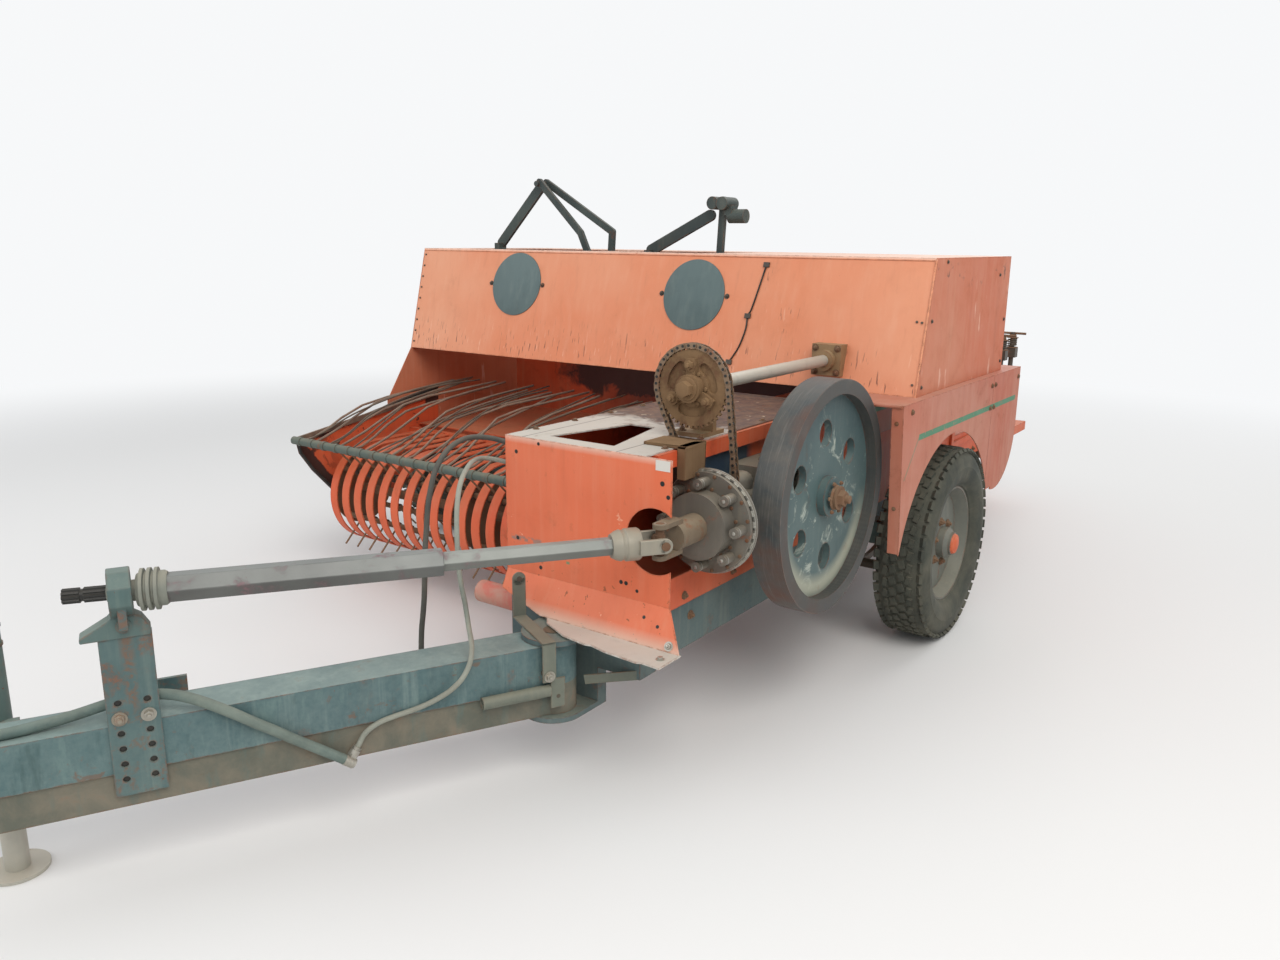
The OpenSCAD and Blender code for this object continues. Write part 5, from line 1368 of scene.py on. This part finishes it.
class BALER_OT_housing_trim(bpy.types.Operator):
    """Bolts and lips of the housing and the fenders, bolts, flanges and rims of the pickup's ends"""
    bl_idname = "baler.housing_trim"
    bl_label = "Housing trim"

    def execute(self, context):
        bm = bmesh.new()
        for x, z in ((0.228, 1.436), (-0.403, 1.379), (-0.51, 1.2), (-0.51, 1.03), (0.4, 1.02),
                     (0.345, 1.24)):
            add_bolt(bm, at(x, 0.5502, z), LEFT, 0.005, nut=False)
            add_bolt(bm, at(x, -1.9312, z), -LEFT, 0.005, nut=False)
        for y in (-1.75, -1.35, -0.95, -0.55, -0.15, 0.25):
            for z in (1.02, 1.415):
                add_bolt(bm, at(-0.5402, y, z), -FORE, 0.0062, nut=False)
        finish_mesh(bm, "housing_bolts", "dark")
        bm = bmesh.new()
        for x, z in ((-0.318, 0.95), (-0.318, 0.86), (-0.362, 0.95), (-0.362, 0.86), (0.56, 0.96),
                     (-0.69, 0.95)):
            add_bolt(bm, at(x, 0.5842, z), LEFT, 0.007, nut=False)
        for z in (0.93, 0.64):
            x = 0.6402 - 0.048 * (0.986 - z) / 0.506
            add_bolt(bm, at(x, 0.562, z), (1, 0, -0.095), 0.005, nut=False)
        finish_mesh(bm, "fender_bolts", "rust")
        rim = [at(0.64, 0.246, 0.9862), at(0.64, 0.578, 0.9862)]
        swept("fender_lip", [rim], 0.0058, "fender")
        # Sheet edge along the top of the housing's front, folded over
        bm = bmesh.new()
        m = turned(panel_point(0, 1.4445), -math.atan2(PANEL_RUN, PANEL_RISE), "Y")
        for y0, y1 in ((-1.925, -0.695), (-0.69, 0.545)):
            add_block(bm, (0.0002, y0, -0.0055), (0.003, y1, 0.005), m)
        finish_mesh(bm, "front_lip", "housing", smooth=False, bevel=0.001)
        bm = bmesh.new()
        ends = ((-1.9182, -1), (-0.2998, 1))
        for y, side in ends:
            for u, v in ring(4, 0.062, math.pi / 4):
                add_bolt(bm, at(PICKUP[0] + u, y, PICKUP[1] + v), LEFT * side, 0.0085)
            for x, z in ((1.07, 0.572), (0.985, 0.452), (0.6, 0.36), (0.43, 0.455), (0.33, 0.64)):
                add_bolt(bm, at(x, y, z), LEFT * side, 0.0075, nut=False)
        finish_mesh(bm, "pickup_bolts", "rust", "pickup")
        bm = bmesh.new()
        for y, side in ends:
            hub = at(PICKUP[0], y, PICKUP[1])
            add_round(bm, hub, LEFT * side, 0.082, 0.005, 48, bevel=0.0015)
            add_round(bm, hub + LEFT * side * 0.005, LEFT * side, 0.04, 0.007, 40, 0.034, bevel=0.001)
        finish_mesh(bm, "reel_flanges", "pickup", "pickup")
        outline = ((0.296, 0.79), (1.119, 0.636), (1.107, 0.588), (1.048, 0.504), (0.911, 0.355),
                   (0.76, 0.307), (0.563, 0.336))
        rims = [[at(x, y, z) for x, z in outline] for y in (-1.9085, -0.3095)]
        swept("pickup_rims", rims, 0.0068, "black", "pickup")
        return {"FINISHED"}


class BALER_OT_reel_trim(bpy.types.Operator):
    """Coils at the roots of the reel's tines"""
    bl_idname = "baler.reel_trim"
    bl_label = "Reel trim"

    def execute(self, context):
        bm = bmesh.new()
        first, pitch = -0.345, 0.078
        for u, v in ring(4, 0.15, math.pi / 4):
            for k in range(19):
                y = first - (k + 0.5) * pitch
                for turn in (-1.5, -0.5, 0.5):
                    p = at(PICKUP[0] + u, y + 0.007 * turn, PICKUP[1] + v)
                    add_round(bm, p, LEFT, 0.018, 0.0046, 14)
        finish_mesh(bm, "tine_coils", "dark", "reel")
        return {"FINISHED"}


class BALER_OT_guard_trim(bpy.types.Operator):
    """Thin springy rods across the guard's bent rods, and the clamps on its tube"""
    bl_idname = "baler.guard_trim"
    bl_label = "Guard trim"

    def execute(self, context):
        lines = []
        for k in range(11):
            y = -1.8 + 0.142 * k
            lean = 0.1 * math.sin(2.3 * k + 0.6)
            rise = 0.018 * math.sin(1.7 * k)
            reach = 0.25 + 0.05 * (k % 3)
            lines.append(rounded([at(x, y + lean * share, z) for x, share, z in (
                (1.139, 0, 0.668), (1.06, 0.2, 0.694), (0.93, 0.5, 0.748 + rise), (0.76, 1, 0.796 + rise),
                (0.56, 1.2, 0.826 + rise), (reach, 1.5, 0.846))], 4))
        swept("guard_rods", lines, 0.0034, "dark", "guard", round_steps=1)
        bm = bmesh.new()
        for k in range(20):
            y = -1.858 + 0.078 * k
            add_band(bm, 0.0172, 0.0196, -0.009, 0.009, aim(LEFT, at(GUARD[0], y, GUARD[1])), 24)
        finish_mesh(bm, "guard_clamps", "guard", "guard")
        return {"FINISHED"}


class BALER_OT_knotter_trim(bpy.types.Operator):
    """Toothed rings, fingers and shaft collars of the two knotters"""
    bl_idname = "baler.knotter_trim"
    bl_label = "Knotter trim"

    def execute(self, context):
        bm = bmesh.new()
        for y in (-0.09, 0.09):
            c = at(KNOTTER[0], y - 0.04, KNOTTER[1])
            for k in range(36):
                m = turned(c, math.radians(10 * k), "Y")
                add_block(bm, (-0.0042, -0.011, 0.1035), (0.0042, 0.011, 0.112), m)
            for side in (-1, 1):
                n = LEFT * side
                hub = [(0.019, 0.015), (0.038, 0.015), (0.036, 0.024), (0.019, 0.024)]
                spin_profile(bm, hub, aim(n, c), 36)
                for u, v in ring(6, 0.062):
                    add_bolt(bm, c + Vector((u, side * 0.0152, v)), n, 0.007)
        finish_mesh(bm, "knotter_gears", "mud")
        bm = bmesh.new()
        lines = []
        for y in (-0.09, 0.09):
            base = at(-0.728, y + 0.002, 0.99)
            add_round(bm, base, (0.5, 0, 0.85), 0.013, 0.06, 20, 0.009, bevel=0.001)
            add_round(bm, base + Vector((0.002, 0.018, -0.04)), FORE, 0.02, 0.014, 24, bevel=0.001)
            lines.append(rounded([base + Vector(p) for p in ((0.03, 0, 0.05), (0.05, 0.01, 0.075),
                                                             (0.085, 0.012, 0.07), (0.1, 0.0, 0.045))], 5))
            lines.append(coil(base + Vector((0.02, -0.03, -0.085)), UP, 0.0085, 0.0042, 16, 10))
        finish_mesh(bm, "knotter_fingers", "bright")
        swept("knotter_springs", lines, 0.0022, "bright", round_steps=1)
        bm = bmesh.new()
        for x in (-0.88, -0.58):
            for y in (-0.2, -0.13, 0.13, 0.2):
                add_bolt(bm, at(x, y, 0.8902), UP, 0.009)
        for side in (-1, 1):
            for x, z in ((-0.86, 0.9), (-0.6, 0.9), (-0.73, 1.08)):
                add_bolt(bm, at(x, side * CHAMBER_WALL, z), LEFT * side, 0.009)
            hub = at(KNOTTER[0], side * CHAMBER_WALL, KNOTTER[1])
            add_round(bm, hub, LEFT * side, 0.03, 0.008, 32, bevel=0.0015)
        finish_mesh(bm, "knotter_bolts", "rust")
        return {"FINISHED"}


class BALER_OT_tension_trim(bpy.types.Operator):
    """Springs, washers and cross handles of the tension screws, and the twine box's hinges and hasp"""
    bl_idname = "baler.tension_trim"
    bl_label = "Tension trim"

    def execute(self, context):
        springs, handles = [], []
        bm = bmesh.new()
        for x in (-1.715, -1.535):
            for y in (-0.273, 0.273):
                springs.append(coil(at(x, y, 0.9775), UP, 0.02, 0.01, 4.0, 16))
                for z in (0.9702, 1.02):
                    add_round(bm, at(x, y, z), UP, 0.029, 0.0035, 32, bevel=0.0008)
                add_bolt(bm, at(x, y, 1.0236), UP, 0.017, washer=False, nut=False)
                add_bolt(bm, at(x, y, 0.4037), -UP, 0.017, nut=False)
                handles.append([at(x, y - 0.065, 1.0445), at(x, y + 0.065, 1.0445)])
        finish_mesh(bm, "tension_washers", "rust")
        swept("tension_springs", springs, 0.0042, "dark")
        swept("tension_handles", handles, 0.0062, "rust", round_steps=3)
        # Hinges and hasp of the twine box
        bm = bmesh.new()
        for x in (-1.38, -1.03):
            add_round(bm, at(x - 0.035, -0.244, 1.0), FORE, 0.0055, 0.07, 20, bevel=0.001)
            for k in (-1, 0, 1):
                add_round(bm, at(x + 0.022 * k - 0.008, -0.244, 1.0), FORE, 0.0068, 0.016, 20)
        finish_mesh(bm, "box_hinges", "rust")
        bm = bmesh.new()
        add_block(bm, at(-1.225, -0.7666, 0.93), at(-1.185, -0.7618, 0.972))
        finish_mesh(bm, "box_hasp", "dark", "lid", smooth=False, bevel=0.001)
        return {"FINISHED"}


class BALER_OT_chassis_trim(bpy.types.Operator):
    """Bolts of the axle and frame, ribs along the chamber, and the gearbox's cap, bolts and dome"""
    bl_idname = "baler.chassis_trim"
    bl_label = "Chassis trim"

    def execute(self, context):
        bm = bmesh.new()
        for side in (-1, 1):
            for x in (-0.026, 0.026):
                add_bolt(bm, at(x, side * 0.29696, 0.4192), UP, 0.011)
                add_bolt(bm, at(x, side * 0.29696, 0.3288), -UP, 0.011)
            for x in (-1.55, -1.3, -1.02, -0.5, 0.55, 0.78, 1.1, 1.38):
                add_bolt(bm, at(x, side * CHAMBER_WALL, 0.492), LEFT * side, 0.009)
            for x in (-1.1, -0.3, 0.7, 1.3):
                add_bolt(bm, at(x, side * 0.2102, 0.4), LEFT * side, 0.01)
        for u, v in ring(6, 0.062, 0.26):
            add_bolt(bm, at(1.6902 + u, v, 0.1828), -UP, 0.009)
        finish_mesh(bm, "chassis_bolts", "rust")
        # Ribs pressed along the chamber's walls
        bm = bmesh.new()
        for side in (-1, 1):
            y = side * CHAMBER_WALL
            for z in (0.548, 0.8):
                add_block(bm, at(-1.84, y, z), at(-0.93, y + side * 0.01, z + 0.03))
            for x in (-1.845, -0.96):
                add_block(bm, at(x, y, 0.47), at(x + 0.034, y + side * 0.012, 0.858))
        finish_mesh(bm, "chamber_ribs", "orange", smooth=False, bevel=0.002)
        # Gearbox: filler cap, bolts and dome
        bm = bmesh.new()
        add_round(bm, at(1.02, 0.31, 0.8452), UP, 0.035, 0.012, 32, 0.03, bevel=0.002)
        add_round(bm, at(1.02, 0.31, 0.857), UP, 0.016, 0.014, 6, bevel=0.001)
        for u, v in ring(8, 0.078, 0.39):
            add_bolt(bm, at(1.1402, *CLUTCH) + Vector((0, u * 0.62, v)), FORE, 0.008)
        for x in (0.8, 0.88, 1.06, 1.12):
            for z in (0.632, 0.826):
                add_bolt(bm, at(x, 0.3802, z), LEFT, 0.008)
        dome = [(0.001, 0.0), (0.036, 0.0), (0.036, 0.03), (0.031, 0.043), (0.018, 0.052), (0.001, 0.0545)]
        spin_profile(bm, dome, aim(UP, at(1.2, 0.312, 0.788)), 48)
        finish_mesh(bm, "gearbox_bolts", "casting")
        return {"FINISHED"}


def paint(key, what):
    """A colour that the user can change, the base colour of a finish."""
    return bpy.props.FloatVectorProperty(name=what.capitalize(), description="Base colour of the " + what,
                                         default=[c / 255 for c in WEATHERED[key][1]], min=0, max=1,
                                         subtype="COLOR_GAMMA")


class BALER_PG_settings(bpy.types.PropertyGroup):
    """Sizes and colours that the user can change"""
    disc_radius: bpy.props.FloatProperty(
        name="Disc radius", description="Radius of the plain discs on the housing",
        default=0.138, min=0.05, max=0.2, subtype="DISTANCE", unit="LENGTH")
    tread_blocks: bpy.props.IntProperty(
        name="Tread blocks", description="Blocks in one row of the tread", default=50, min=24, max=80)
    chain_pitch: bpy.props.FloatProperty(
        name="Chain pitch", description="Length of one link, rounded to fit the way round both sprockets",
        default=0.01905, min=0.012, max=0.04, subtype="DISTANCE", unit="LENGTH")
    paint_housing: paint("housing", "housing's front and roof")
    paint_plate: paint("plate", "front plate")
    paint_fender: paint("fender", "fender")
    paint_pickup: paint("pickup", "pickup")
    paint_drawbar: paint("drawbar", "drawbar")
    paint_web: paint("web", "flywheel")
    paint_rim: paint("rim", "wheel rims")


PIECES = [
    BALER_OT_stage, BALER_OT_finishes, BALER_OT_hoses, BALER_OT_discs, BALER_OT_tyres,
    BALER_OT_wheel_trim, BALER_OT_chain, BALER_OT_flywheel_trim, BALER_OT_clutch_trim,
    BALER_OT_drive_shaft, BALER_OT_bracket_trim, BALER_OT_drawbar_trim, BALER_OT_front_trim,
    BALER_OT_housing_trim, BALER_OT_reel_trim, BALER_OT_guard_trim, BALER_OT_knotter_trim,
    BALER_OT_tension_trim, BALER_OT_chassis_trim,
]


class BALER_PT_panel(bpy.types.Panel):
    """Lists the pieces of the baler"""
    bl_idname = "BALER_PT_panel"
    bl_label = "Square baler"
    bl_space_type = "VIEW_3D"
    bl_region_type = "UI"
    bl_category = "Baler"

    def draw(self, context):
        settings = context.scene.baler
        for name in BALER_PG_settings.__annotations__:
            self.layout.prop(settings, name)
        for piece in PIECES:
            self.layout.operator(piece.bl_idname)


CLASSES = [BALER_PG_settings] + PIECES + [BALER_PT_panel]


def register():
    """Adds the classes and the settings."""
    for c in CLASSES:
        bpy.utils.register_class(c)
    bpy.types.Scene.baler = bpy.props.PointerProperty(type=BALER_PG_settings)


def unregister():
    """Takes the settings and the classes away again."""
    del bpy.types.Scene.baler
    for c in reversed(CLASSES):
        bpy.utils.unregister_class(c)


def main():
    register()
    for piece in PIECES:
        getattr(bpy.ops.baler, piece.bl_idname.split(".")[1])()


if __name__ == "__main__":
    main()
